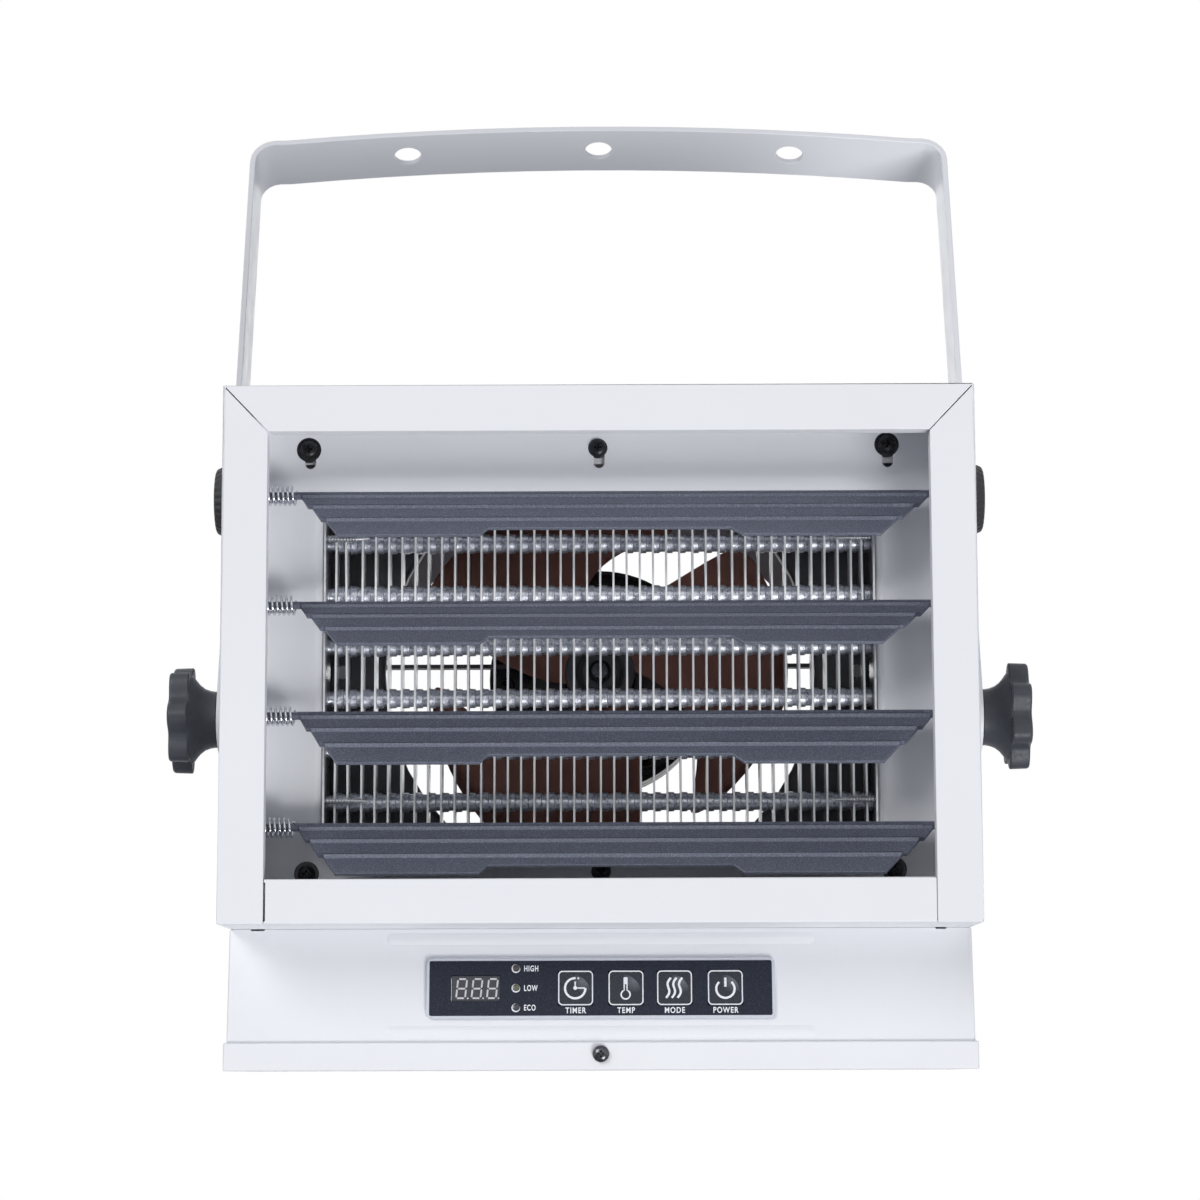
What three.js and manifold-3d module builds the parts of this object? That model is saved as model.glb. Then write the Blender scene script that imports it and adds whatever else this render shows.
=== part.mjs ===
// Ceiling mounted fan heater: a steel housing with four swinging louvers, a finned heating element and a
// fan behind them, a control box underneath, and a strap bracket that it tilts in.
//
// Millimetres. The origin is the middle of the bracket bar's top face, where it meets the ceiling. +Z is up
// and the heater blows towards -Y. Everything that tilts is placed from the pivot, in the housing's own
// upright axes: x to the right seen from the front, y towards the back, z up.

import * as THREE from 'three';
import { mergeVertices } from 'three/addons/utils/BufferGeometryUtils.js';
import Module from 'manifold-3d';

const wasm = await Module();
wasm.setup();

const DEGREE = Math.PI / 180;

// ---------------------------------------------------------------- driving dimensions

const GAP = 0.3;                    // clear space kept between pieces that touch on the real heater
const SHEET = 1.2;                  // casing sheet

// Bracket
const STRAP_WIDTH = 35.6;
const STRAP_THICKNESS = 3;
const STRAP_HALF_SPAN = 189;        // outer face of an arm
const BAR_BOW = 9.4;                // rise of the bar's middle above its ends
const BAR_CORNER_RADIUS = 14;
const PIVOT_DROP = 357;             // ceiling face to pivot
const HANGING_HOLE_PITCH = 104.7;
const HANGING_HOLE_RADIUS = 7.35;
const FACETS = 13;                  // flats that the bowed bar is drawn with
const REST_TILT = 22.3;             // degrees that the housing faces down at rest
const TILT_MIN = 0;                 // least and greatest total tilt
const TILT_MAX = 60;
const LOCK_RADIUS = 127.6;          // lock knob to pivot
const LOCK_Z = -PIVOT_DROP + LOCK_RADIUS;

// Housing, from the pivot
const HALF_WIDTH = 183;
const FRONT_Y = -56;
const BACK_Y = 144;
const TOP_Z = 158;
const BOTTOM_Z = -103.8;
const FRAME_BAR = 22;               // face width of the front frame
const FRAME_RETURN = 9.5;           // depth of the frame's inner return
const MOUTH_HALF_WIDTH = HALF_WIDTH - FRAME_BAR;
const MOUTH_TOP = 135;
const MOUTH_BOTTOM = -82.5;
const RAIL_HALF_WIDTH = 160;        // rails behind the mouth, which the reflector panel is screwed to
const TOP_RAIL_Z = 127;
const BOTTOM_RAIL_Z = -67;
const BACK_OPENING_Z = [-50, 106];  // opening in the back panel, its corners cut off
const BACK_OPENING_HALF_WIDTH = 122;
const BACK_OPENING_CORNER = 48;
const MOTOR_LEAD_AT = [0, 108];     // where the leads pass the bottom pan, x and y
const ELEMENT_LEAD_AT = [156, 27];
const LEAD_HOLE_RADIUS = 6;

// Louvers
const LOUVER_COUNT = 4;
const LOUVER_Y = -24;
const LOUVER_TOP_Z = 108.6;
const LOUVER_PITCH = 54.7;
const LOUVER_ANGLES = [41.6, 38.6, 44.6, 41.6];   // degrees below level, top to bottom
const LOUVER_LEFT = -148.8;
const LOUVER_RIGHT = 164.5;
const LOUVER_TIP = 37;              // pivot to front edge
const LOUVER_HEEL = 2.6;            // pivot to rear edge
const LOUVER_THICKNESS = 1.6;
const LOUVER_RIDGES = [1.5, 11.5, 23.3];          // distances from the pivot
const PIN_RADIUS = 2;
const SPRING_RADIUS = 4.45;         // middle of the wire
const SPRING_WIRE = 1.1;
const SPRING_CURLS = 7;
const SPRING_STEPS = 8;
const SPRING_SIDES = 5;

// Reflector panel and heating element
const PANEL_Y = -10;                // front face of the panel
const WING_X = 167.4;               // inner face of the wings that hold the louver pins
const WING_FRONT = -50;
const PANEL_SPAN_Z = [-100, 155];
const WINDOW_HALF_WIDTH = 138;
const WINDOW_TOP = 104;
const WINDOW_BOTTOM = -56;
const PANEL_SCREW_XS = [-144, 0, 144];
const PANEL_SCREW_ROWS = [135.7, -76];
const RAIL_HOLE_RADIUS = 2.3;
const SCREW_SHANK_RADIUS = 1.9;
const TUBE_Y = 7;
const TUBE_TOP_Z = 89;
const TUBE_PITCH = 26;
const TUBE_COUNT = 6;
const TUBE_RADIUS = 4.6;
const TUBE_END_X = 146;             // open ends, at the right
const TUBE_BEND_X = 152;            // bends, at the left
const FIN_COUNT = 14;
const FIN_HALF_SPAN = 133.25;
const FIN_FRONT = -3.3;
const FIN_BACK = 18.5;
const FIN_THICKNESS = 0.6;
const END_PLATE_X = 136;
const ELEMENT_SCREW_Y = -5.4;
const ELEMENT_SCREW_ROWS = [90, -41];
const ELEMENT_SCREW_HOLE = 2.1;

// Fan
const FAN_Z = 28;
const VENTURI_Y = 38.4;
const VENTURI_RADIUS = 109.5;
const VENTURI_COLLAR = 10;
const FAN_BLADES = 3;
const BLADE_Y = 48;                 // middle of the blades
const BLADE_THICKNESS = 1.4;
const SPIDER_RADIUS = 18;
const HUB_SPAN_Y = [41, 60];
const FAN_HUB_RADIUS = 10;
const COLLAR_RADIUS = 9.7;
const COLLAR_LENGTH = 4;
const SHAFT_RADIUS = 4;
const SHAFT_SPAN_Y = [33, 95];
const MOTOR_RADIUS = 58;
const MOTOR_NOSE_RADIUS = 18;
const MOTOR_FRONT = 72;
const MOTOR_BACK = 120;
const STRAP_BAR_X = 119;            // motor strap: half length of the bar in front of the motor
const STRAP_BAR_Z = [33, 35];

// A blade seen from the front: radius, then the angles of its leading and trailing edges, then how far the
// trailing edge stands forward of the leading one, halved.
const BLADE_STATIONS = [
  [14, 128, 204, 0.8],
  [20, 120, 196, 1.4],
  [32, 110, 187, 4],
  [46, 99.7, 177, 7],
  [62, 86.3, 170, 10],
  [78, 67.2, 166, 12],
  [85, 61, 164.5, 12.4],
  [89, 68, 163.6, 12.6],
  [93, 91, 162, 12.8],
  [97, 112, 157, 12.8],
];

// Control box
const BOX_BACK = 130;
const BOX_FRONT_TOP_Y = 1;
const BOX_FRONT_LOW_Y = -8;
const BOX_FRONT_LOW_Z = -159;
const COVER_BOTTOM_Z = -173.2;
const COVER_LIP_TOP_Z = -159.5;
const COVER_HALF_WIDTH = 184.5;
const OVERLAY_WIDTH = 171;
const OVERLAY_HEIGHT = 30;
const OVERLAY_THICKNESS = 1.5;
const OVERLAY_DROP = 29.9;          // top edge of the box front to the overlay's middle, along the slope
const COVER_SCREW_Z = -165.3;
const KEY_SIZE = 17;
const KEY_X = [-12.3, 12.4, 36.2, 61.1];
const DISPLAY_X = -61.3;
const DISPLAY_SIZE = [23.8, 12.7];
const INDICATOR_X = -41.6;
const INDICATOR_RISES = [9.7, 0, -9.7];
const INDICATOR_RADIUS = 2.15;
const BOARD_Y = [5.4, 7];           // control board, into the box from the panel's face
const BOARD_SIZE = [160, 24];
const SWITCH_Y = 3.4;
const GLAND_X = 120;
const GLAND_Z = -138;
const GLAND_THREAD_RADIUS = 9.6;
const GLAND_BORE_RADIUS = 5.5;
const POWER_BOARD_X = [-100, 60];
const POWER_BOARD_Y = [30, 122];
const POWER_BOARD_Z = [-162, -160.4];
const TERMINALS_X = [128, 174];
const TERMINALS_Y = [44, 74];
const TERMINALS_TOP = -152;

// Knobs
const STAR_RADIUS = 27;
const STAR_LOBES = 7;
const STAR_INNER_X = 202.4;
const STAR_OUTER_X = 212.6;
const HUB_RADIUS = 14.5;
const STUD_RADIUS = 4;
const STUD_END_X = 172;             // inner end of the pivot and lock studs
const BUSH_SPAN_X = [174, 185.7];
const LOCK_KNOB_RADIUS = 20;
const LOCK_STUD_RADIUS = 3;
const LOCK_SLOT_WIDTH = 10;
const LOCK_NUT_X = 175;
const THROUGH = 200;                // reach of a tool that cuts through both side walls

// ---------------------------------------------------------------- finishes

const finish = (color, roughness, metalness) =>
  () => new THREE.MeshStandardMaterial({ color, roughness, metalness });

const whitePaint = finish(0xe8ecf1, 0.45, 0.0);
const darkPaint = finish(0x4f535c, 0.6, 0.2);
const blackSteel = finish(0x1c1c1f, 0.4, 0.5);
const blackPlastic = finish(0x2e3038, 0.55, 0.0);
const glossBlack = finish(0x17181c, 0.15, 0.0);
const galvanised = finish(0xb4b7ba, 0.4, 0.8);
const charcoalSteel = finish(0x3c3c3e, 0.5, 0.5);
const copperPaint = finish(0x7a4a3c, 0.45, 0.4);
const springSteel = finish(0xcfd2d6, 0.2, 1.0);
const displayGlass = finish(0x6a6d72, 0.2, 0.0);
const indicatorLens = finish(0x8f8a80, 0.3, 0.0);
const boardGreen = finish(0x24523a, 0.6, 0.0);
const beigePlastic = finish(0xd9d2bf, 0.5, 0.0);
const cableBlack = finish(0x202022, 0.6, 0.0);

// ---------------------------------------------------------------- solids

function solidOf(geometry) {
  const bare = geometry.clone();
  bare.deleteAttribute('normal');
  bare.deleteAttribute('uv');
  const merged = mergeVertices(bare, 1e-4);
  return new wasm.Manifold(new wasm.Mesh({
    numProp: 3,
    vertProperties: merged.attributes.position.array,
    triVerts: Uint32Array.from(merged.index.array),
  }));
}

function geometryOf(solid) {
  const { numProp, vertProperties, triVerts } = solid.getMesh();
  const positions = new Float32Array((vertProperties.length / numProp) * 3);
  for (let i = 0; i < positions.length / 3; i++) {
    for (let k = 0; k < 3; k++) positions[i * 3 + k] = vertProperties[i * numProp + k];
  }
  const geometry = new THREE.BufferGeometry();
  geometry.setAttribute('position', new THREE.BufferAttribute(positions, 3));
  geometry.setIndex(Array.from(triVerts));
  geometry.computeVertexNormals();
  return geometry;
}

const join = (...solids) => solids.flat().reduce((whole, piece) => whole.add(piece));
const cut = (solid, ...tools) => tools.flat().reduce((rest, tool) => rest.subtract(tool), solid);

function block([x0, x1], [y0, y1], [z0, z1]) {
  const geometry = new THREE.BoxGeometry(x1 - x0, y1 - y0, z1 - z0);
  return solidOf(geometry.translate((x0 + x1) / 2, (y0 + y1) / 2, (z0 + z1) / 2));
}

// A round bar along one axis, from start to end; radii differ on a cone.
function roundBar(axis, [start, end], [a, b], radius, sides = 16, endRadius = radius) {
  const [low, high] = start < end ? [radius, endRadius] : [endRadius, radius];
  const length = Math.abs(end - start);
  const geometry = new THREE.CylinderGeometry(high, low, length, sides);
  const middle = (start + end) / 2;
  if (axis === 'x') return solidOf(geometry.rotateZ(-Math.PI / 2).translate(middle, a, b));
  if (axis === 'y') return solidOf(geometry.translate(a, middle, b));
  return solidOf(geometry.rotateX(Math.PI / 2).translate(a, b, middle));
}

const shapeOf = (points) => new THREE.Shape(points.map(([u, v]) => new THREE.Vector2(u, v)));

// An outline drawn in two axes and pushed along the third.
const PUSH_FRAMES = {
  x: [[0, 1, 0], [0, 0, 1], [1, 0, 0]],        // outline in (y, z)
  y: [[0, 0, 1], [1, 0, 0], [0, 1, 0]],        // outline in (z, x)
  z: [[1, 0, 0], [0, 1, 0], [0, 0, 1]],        // outline in (x, y)
};

function pushed(axis, points, [start, end]) {
  const settings = { depth: end - start, bevelEnabled: false };
  const geometry = new THREE.ExtrudeGeometry(shapeOf(points), settings).translate(0, 0, start);
  const [u, v, w] = PUSH_FRAMES[axis].map((column) => new THREE.Vector3(...column));
  return solidOf(geometry.applyMatrix4(new THREE.Matrix4().makeBasis(u, v, w)));
}

function arcPoints([u, v], radius, fromDegrees, toDegrees, steps) {
  return Array.from({ length: steps + 1 }, (_, i) => {
    const angle = (fromDegrees + ((toDegrees - fromDegrees) * i) / steps) * DEGREE;
    return [u + radius * Math.cos(angle), v + radius * Math.sin(angle)];
  });
}

function roundedRectangle(width, height, radius, steps = 3) {
  const u = width / 2 - radius;
  const v = height / 2 - radius;
  return [
    ...arcPoints([u, v], radius, 0, 90, steps),
    ...arcPoints([-u, v], radius, 90, 180, steps),
    ...arcPoints([-u, -v], radius, 180, 270, steps),
    ...arcPoints([u, -v], radius, 270, 360, steps),
  ];
}

// A closed tube through the points. Each ring is square to the path, and turned by the outward hint.
function sweptTube(points, radius, sides, outwardAt) {
  const positions = [];
  const faces = [];
  const last = points.length - 1;
  points.forEach((point, i) => {
    const tangent = new THREE.Vector3();
    if (i > 0) tangent.add(point.clone().sub(points[i - 1]).normalize());
    if (i < last) tangent.add(points[i + 1].clone().sub(point).normalize());
    tangent.normalize();
    const side = new THREE.Vector3().crossVectors(tangent, outwardAt(point, i)).normalize();
    const outward = new THREE.Vector3().crossVectors(side, tangent);
    for (let k = 0; k < sides; k++) {
      const angle = (2 * Math.PI * k) / sides;
      const corner = point.clone()
        .addScaledVector(outward, radius * Math.cos(angle))
        .addScaledVector(side, radius * Math.sin(angle));
      positions.push(corner.x, corner.y, corner.z);
    }
  });
  for (let i = 0; i < last; i++) {
    for (let k = 0; k < sides; k++) {
      const [a, b] = [i * sides + k, i * sides + ((k + 1) % sides)];
      faces.push(a, b, a + sides, b, b + sides, a + sides);
    }
  }
  for (let k = 1; k < sides - 1; k++) {
    faces.push(0, k + 1, k);
    faces.push(last * sides, last * sides + k, last * sides + k + 1);
  }
  const geometry = new THREE.BufferGeometry();
  geometry.setAttribute('position', new THREE.Float32BufferAttribute(positions, 3));
  geometry.setIndex(faces);
  return solidOf(geometry);
}

function smoothPath(corners, steps) {
  return new THREE.CatmullRomCurve3(corners.map((c) => new THREE.Vector3(...c))).getSpacedPoints(steps);
}

// ---------------------------------------------------------------- assembly

const heater = new THREE.Group();
const housing = new THREE.Group();
housing.position.set(0, 0, -PIVOT_DROP);
housing.rotation.x = REST_TILT * DEGREE;
heater.add(housing);

function addPart(group, name, material, solid) {
  const mesh = new THREE.Mesh(geometryOf(solid), material());
  mesh.name = name;
  group.add(mesh);
}

const SIDES = [['left', -1], ['right', 1]];

// ---------------------------------------------------------------- bracket and knobs

// The strap's outer face is a polygon of flats on the bow, so that each hanging hole has a flat land.
function strapOutline(inset) {
  const halfChord = STRAP_HALF_SPAN - BAR_CORNER_RADIUS;
  const bowRadius = (halfChord ** 2 + BAR_BOW ** 2) / (2 * BAR_BOW);
  const flat = HANGING_HOLE_PITCH / 4;
  const bow = [];
  for (let edge = -FACETS / 2; edge <= FACETS / 2; edge++) {
    const x = edge * flat;
    const facet = Math.abs(edge) - 0.5;
    const mid = facet * flat;
    const slope = mid / bowRadius;
    const midDrop = mid ** 2 / (2 * bowRadius);
    bow.push([x, -midDrop - slope * (Math.abs(x) - mid)]);
  }
  const endDrop = -bow[0][1];
  const radius = BAR_CORNER_RADIUS - inset;
  const corner = [STRAP_HALF_SPAN - BAR_CORNER_RADIUS, -endDrop - BAR_CORNER_RADIUS];
  const low = -PIVOT_DROP - STRAP_WIDTH;
  const right = arcPoints(corner, radius, 0, 86, 5);
  const left = right.map(([x, z]) => [-x, z]).reverse();
  const bar = bow.map(([x, z]) => [x, z - inset]).reverse();
  return [[STRAP_HALF_SPAN - inset, low], ...right, ...bar, ...left, [-STRAP_HALF_SPAN + inset, low]];
}

function mountingBracket() {
  const halfWidth = STRAP_WIDTH / 2;
  const asZX = (points) => points.map(([x, z]) => [z, x]).reverse();
  const outer = pushed('y', asZX(strapOutline(0)), [-halfWidth, halfWidth]);
  const inner = pushed('y', asZX(strapOutline(STRAP_THICKNESS)), [-halfWidth - 1, halfWidth + 1]);
  const sideView = [
    ...arcPoints([0, -PIVOT_DROP], halfWidth, 180, 360, 12),
    [halfWidth, 1],
    [-halfWidth, 1],
  ];
  const trimmed = outer.subtract(inner).intersect(pushed('x', sideView, [-THROUGH, THROUGH]));
  const hangingHoles = [-1, 0, 1].map((i) =>
    roundBar('z', [-25, 5], [i * HANGING_HOLE_PITCH, 0], HANGING_HOLE_RADIUS, 24));
  const armHoles = [
    roundBar('x', [-THROUGH, THROUGH], [0, -PIVOT_DROP], STUD_RADIUS + GAP),
    roundBar('x', [-THROUGH, THROUGH], [0, LOCK_Z], LOCK_STUD_RADIUS + GAP),
  ];
  return cut(trimmed, hangingHoles, armHoles);
}

function pivotKnob(side) {
  const points = [];
  const steps = STAR_LOBES * 6;
  for (let i = 0; i < steps; i++) {
    const angle = (2 * Math.PI * i) / steps;
    const radius = STAR_RADIUS - 2.4 + 2.4 * Math.cos(STAR_LOBES * angle);
    points.push([radius * Math.cos(angle), radius * Math.sin(angle)]);
  }
  const head = pushed('x', points, [side * STAR_INNER_X, side * STAR_OUTER_X].sort((a, b) => a - b));
  const hubStart = STRAP_HALF_SPAN + GAP;
  const hubSpan = [side * hubStart, side * (STAR_INNER_X + 1)];
  const hub = roundBar('x', hubSpan, [0, 0], HUB_RADIUS - 1.5, 20, HUB_RADIUS);
  const stud = roundBar('x', [side * STUD_END_X, side * (hubStart + 1)], [0, 0], STUD_RADIUS, 12);
  return join(head, hub, stud);
}

function pivotBush(side) {
  const [inner, outer] = BUSH_SPAN_X;
  const flange = roundBar('x', [side * (HALF_WIDTH + GAP), side * outer], [0, 0], 11, 20);
  const neck = roundBar('x', [side * inner, side * (outer - 0.5)], [0, 0], 7, 6);
  const bore = roundBar('x', [0, side * THROUGH], [0, 0], STUD_RADIUS + GAP, 12);
  return join(flange, neck).subtract(bore);
}

function lockKnob(side) {
  const base = STRAP_HALF_SPAN + GAP;
  const skirt = roundBar('x', [side * base, side * (base + 3.5)], [0, LOCK_Z], LOCK_KNOB_RADIUS, 28);
  const crown = roundBar('x', [side * (base + 3.4), side * (base + 8)], [0, LOCK_Z], 18.5, 28, 14.5);
  const stud = roundBar('x', [side * STUD_END_X, side * (base + 1)], [0, LOCK_Z], LOCK_STUD_RADIUS, 10);
  return join(skirt, crown, stud);
}

function lockNut(side) {
  const inside = HALF_WIDTH - SHEET - GAP;
  const neckSpan = [side * (inside - 1), side * BUSH_SPAN_X[1]];
  const plate = roundBar('x', [side * LOCK_NUT_X, side * inside], [0, LOCK_Z], 8, 6);
  const neck = roundBar('x', neckSpan, [0, LOCK_Z], LOCK_SLOT_WIDTH / 2 - 0.4, 14);
  const bore = roundBar('x', [0, side * THROUGH], [0, LOCK_Z], LOCK_STUD_RADIUS + GAP, 10);
  return join(plate, neck).subtract(bore);
}

addPart(heater, 'mounting_bracket', whitePaint, mountingBracket());
for (const [name, side] of SIDES) {
  addPart(heater, `lock_knob_${name}`, blackPlastic, lockKnob(side));
  addPart(heater, `lock_nut_${name}`, galvanised, lockNut(side));
  addPart(housing, `pivot_knob_${name}`, blackPlastic, pivotKnob(side));
  addPart(housing, `pivot_bush_${name}`, galvanised, pivotBush(side));
}

// ---------------------------------------------------------------- casing

// An arc slot through both side walls, which the lock studs run along as the housing tilts.
function lockSlots() {
  const half = LOCK_SLOT_WIDTH / 2;
  const from = 90 - TILT_MAX - 1;
  const to = 90 - TILT_MIN + 1;
  const endCap = (angle, turn) => arcPoints(
    [LOCK_RADIUS * Math.cos(angle * DEGREE), LOCK_RADIUS * Math.sin(angle * DEGREE)], half,
    angle + turn, angle + turn + 180, 6).slice(1, -1);
  const outline = [
    ...arcPoints([0, 0], LOCK_RADIUS + half, from, to, 14),
    ...endCap(to, 0),
    ...arcPoints([0, 0], LOCK_RADIUS - half, to, from, 14),
    ...endCap(from, 180),
  ];
  return pushed('x', outline, [-THROUGH, THROUGH]);
}

const RAIL_SPAN_Y = [PANEL_Y + SHEET + GAP, PANEL_Y + 2 * SHEET + GAP];

function railHoles(row) {
  return PANEL_SCREW_XS.map((x) =>
    roundBar('y', [PANEL_Y, 0], [x, PANEL_SCREW_ROWS[row]], RAIL_HOLE_RADIUS, 8));
}

function housingWrap() {
  const wallTop = TOP_Z - SHEET;
  const shell = cut(
    block([-HALF_WIDTH, HALF_WIDTH], [FRONT_Y, BACK_Y], [BOTTOM_Z, TOP_Z]),
    block([-HALF_WIDTH + SHEET, HALF_WIDTH - SHEET], [FRONT_Y + SHEET, BACK_Y + 1], [BOTTOM_Z - 1, wallTop]),
    block([-MOUTH_HALF_WIDTH, MOUTH_HALF_WIDTH], [FRONT_Y - 1, FRONT_Y + 2], [BOTTOM_Z - 1, MOUTH_TOP]),
  );
  const returnBack = FRONT_Y + FRAME_RETURN;
  const sideReturns = SIDES.map(([, side]) => {
    const span = [side * MOUTH_HALF_WIDTH, side * (MOUTH_HALF_WIDTH + SHEET)].sort((a, b) => a - b);
    return block(span, [FRONT_Y, returnBack], [MOUTH_BOTTOM, MOUTH_TOP - 1]);
  });
  const topReturn = block([-MOUTH_HALF_WIDTH + 1, MOUTH_HALF_WIDTH - 1], [FRONT_Y, returnBack],
    [MOUTH_TOP, MOUTH_TOP + SHEET]);
  const rail = block([-RAIL_HALF_WIDTH, RAIL_HALF_WIDTH], RAIL_SPAN_Y, [TOP_RAIL_Z, TOP_Z - 0.5]);
  const mitres = SIDES.map(([, side]) => {
    const rise = TOP_Z - MOUTH_TOP;
    const length = Math.hypot(FRAME_BAR, rise) - 1;
    const slit = new THREE.BoxGeometry(length, SHEET + 1, 0.5);
    slit.rotateY(-side * Math.atan2(rise, FRAME_BAR));
    return solidOf(slit.translate(
      side * (MOUTH_HALF_WIDTH + FRAME_BAR / 2 - 0.7), FRONT_Y + SHEET / 2, MOUTH_TOP + rise / 2 - 0.7));
  });
  const pivotHoles = roundBar('x', [-THROUGH, THROUGH], [0, 0], 7.5, 16);
  return cut(join(shell, sideReturns, topReturn, rail), mitres, railHoles(0), pivotHoles, lockSlots());
}

function bottomPan() {
  const halfWidth = HALF_WIDTH - SHEET - GAP;
  const flangeHalf = MOUTH_HALF_WIDTH - GAP;
  const floor = block([-halfWidth, halfWidth], [FRONT_Y + SHEET + GAP, BACK_Y], [BOTTOM_Z, BOTTOM_Z + SHEET]);
  const nose = block([-flangeHalf, flangeHalf], [FRONT_Y, FRONT_Y + 3], [BOTTOM_Z, BOTTOM_Z + SHEET]);
  const face = block([-flangeHalf, flangeHalf], [FRONT_Y, FRONT_Y + SHEET], [BOTTOM_Z, MOUTH_BOTTOM]);
  const lip = block([-flangeHalf, flangeHalf], [FRONT_Y, FRONT_Y + FRAME_RETURN],
    [MOUTH_BOTTOM - SHEET, MOUTH_BOTTOM]);
  const rail = block([-RAIL_HALF_WIDTH, RAIL_HALF_WIDTH], RAIL_SPAN_Y, [BOTTOM_Z + 0.5, BOTTOM_RAIL_Z]);
  const leadHoles = [MOTOR_LEAD_AT, ELEMENT_LEAD_AT].map((at) =>
    roundBar('z', [BOTTOM_Z - 1, BOTTOM_Z + 2], at, LEAD_HOLE_RADIUS, 14));
  return cut(join(floor, nose, face, lip, rail), railHoles(1), leadHoles);
}

function backPanel() {
  const halfWidth = HALF_WIDTH - SHEET - GAP;
  const sheet = block([-halfWidth, halfWidth], [BACK_Y - 1.5, BACK_Y - GAP],
    [BOTTOM_Z + SHEET + GAP, TOP_Z - SHEET - GAP]);
  const [low, high] = BACK_OPENING_Z;
  const side = BACK_OPENING_HALF_WIDTH;
  const cornerX = side - BACK_OPENING_CORNER;
  const [cornerLow, cornerHigh] = [low + BACK_OPENING_CORNER, high - BACK_OPENING_CORNER];
  const outline = [
    [low, -cornerX], [low, cornerX], [cornerLow, side], [cornerHigh, side],
    [high, cornerX], [high, -cornerX], [cornerHigh, -side], [cornerLow, -side],
  ];
  return sheet.subtract(pushed('y', outline, [BACK_Y - 5, BACK_Y + 5]));
}

addPart(housing, 'housing_wrap', whitePaint, housingWrap());
addPart(housing, 'bottom_pan', whitePaint, bottomPan());
addPart(housing, 'back_panel', whitePaint, backPanel());

// ---------------------------------------------------------------- reflector panel

const louverZ = (i) => LOUVER_TOP_Z - LOUVER_PITCH * i;

function elementScrewHoles() {
  const reach = WINDOW_HALF_WIDTH + 5;
  return ELEMENT_SCREW_ROWS.map((z) =>
    roundBar('x', [-reach, reach], [ELEMENT_SCREW_Y, z], ELEMENT_SCREW_HOLE, 8));
}

function reflectorPanel() {
  const back = PANEL_Y + SHEET;
  const outer = WING_X + SHEET;
  const base = block([-outer, outer], [PANEL_Y, back], PANEL_SPAN_Z);
  const wings = SIDES.map(([, side]) => {
    const span = [side * WING_X, side * outer].sort((a, b) => a - b);
    return block(span, [WING_FRONT, back], PANEL_SPAN_Z);
  });
  const flanges = SIDES.map(([, side]) => {
    const span = [side * WINDOW_HALF_WIDTH, side * (WINDOW_HALF_WIDTH + SHEET)].sort((a, b) => a - b);
    return block(span, [PANEL_Y, 0], [WINDOW_BOTTOM, WINDOW_TOP]);
  });
  const window = block([-WINDOW_HALF_WIDTH, WINDOW_HALF_WIDTH], [PANEL_Y - 1, back + 1],
    [WINDOW_BOTTOM, WINDOW_TOP]);
  const keyholes = PANEL_SCREW_ROWS.flatMap((z) => PANEL_SCREW_XS.map((x) => {
    const slot = [...arcPoints([z, x], 2.6, -90, 90, 4), ...arcPoints([z - 8.6, x], 2.6, 90, 270, 4)];
    return pushed('y', slot, [PANEL_Y - 1, back + 1]);
  }));
  const pinHoles = Array.from({ length: LOUVER_COUNT }, (_, i) =>
    roundBar('x', [-THROUGH, THROUGH], [LOUVER_Y, louverZ(i)], PIN_RADIUS + GAP, 10));
  return cut(join(base, wings, flanges), window, keyholes, pinHoles, elementScrewHoles());
}

function panelScrew(x, z) {
  const middle = x === 0;
  const washer = roundBar('y', [PANEL_Y - GAP, PANEL_Y - GAP - 1], [x, z], middle ? 5 : 6.1, 14);
  const head = roundBar('y', [PANEL_Y - GAP - 0.9, PANEL_Y - GAP - 3.6], [x, z], 4.2, 14, 3);
  const shank = roundBar('y', [PANEL_Y - 1, 1], [x, z], SCREW_SHANK_RADIUS, 8);
  return join(washer, head, shank);
}

addPart(housing, 'reflector_panel', whitePaint, reflectorPanel());
let screwNumber = 1;
for (const z of PANEL_SCREW_ROWS) {
  for (const x of PANEL_SCREW_XS) {
    addPart(housing, `panel_screw_${screwNumber}`, blackSteel, panelScrew(x, z));
    screwNumber += 1;
  }
}

// ---------------------------------------------------------------- heating element

const tubeZ = (i) => TUBE_TOP_Z - TUBE_PITCH * i;

// Six tubes, joined in pairs by a bend at the left, with plate fins pressed over all of them.
function heatingElement() {
  const tubes = Array.from({ length: TUBE_COUNT }, (_, i) =>
    roundBar('x', [-TUBE_BEND_X, TUBE_END_X], [TUBE_Y, tubeZ(i)], TUBE_RADIUS, 4));
  const bends = [0, 2, 4].map((i) =>
    block([-TUBE_BEND_X - 3, -TUBE_BEND_X + 3], [TUBE_Y - 3, TUBE_Y + 3], [tubeZ(i + 1) - 3, tubeZ(i) + 3]));
  const fins = Array.from({ length: FIN_COUNT }, (_, i) => {
    const x = -FIN_HALF_SPAN + (2 * FIN_HALF_SPAN * i) / (FIN_COUNT - 1);
    return block([x - FIN_THICKNESS / 2, x + FIN_THICKNESS / 2], [FIN_FRONT, FIN_BACK],
      [WINDOW_BOTTOM + 2, WINDOW_TOP - 2]);
  });
  return join(tubes, bends, fins);
}

function elementPlate(side) {
  const span = [side * END_PLATE_X, side * (END_PLATE_X + SHEET)].sort((a, b) => a - b);
  const plate = block(span, [-9, 22], [WINDOW_BOTTOM + 1, WINDOW_TOP - 1]);
  const tubeHoles = Array.from({ length: TUBE_COUNT }, (_, i) =>
    roundBar('x', [-THROUGH, THROUGH], [TUBE_Y, tubeZ(i)], TUBE_RADIUS + GAP + 0.1, 4));
  return cut(plate, tubeHoles, elementScrewHoles());
}

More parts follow.
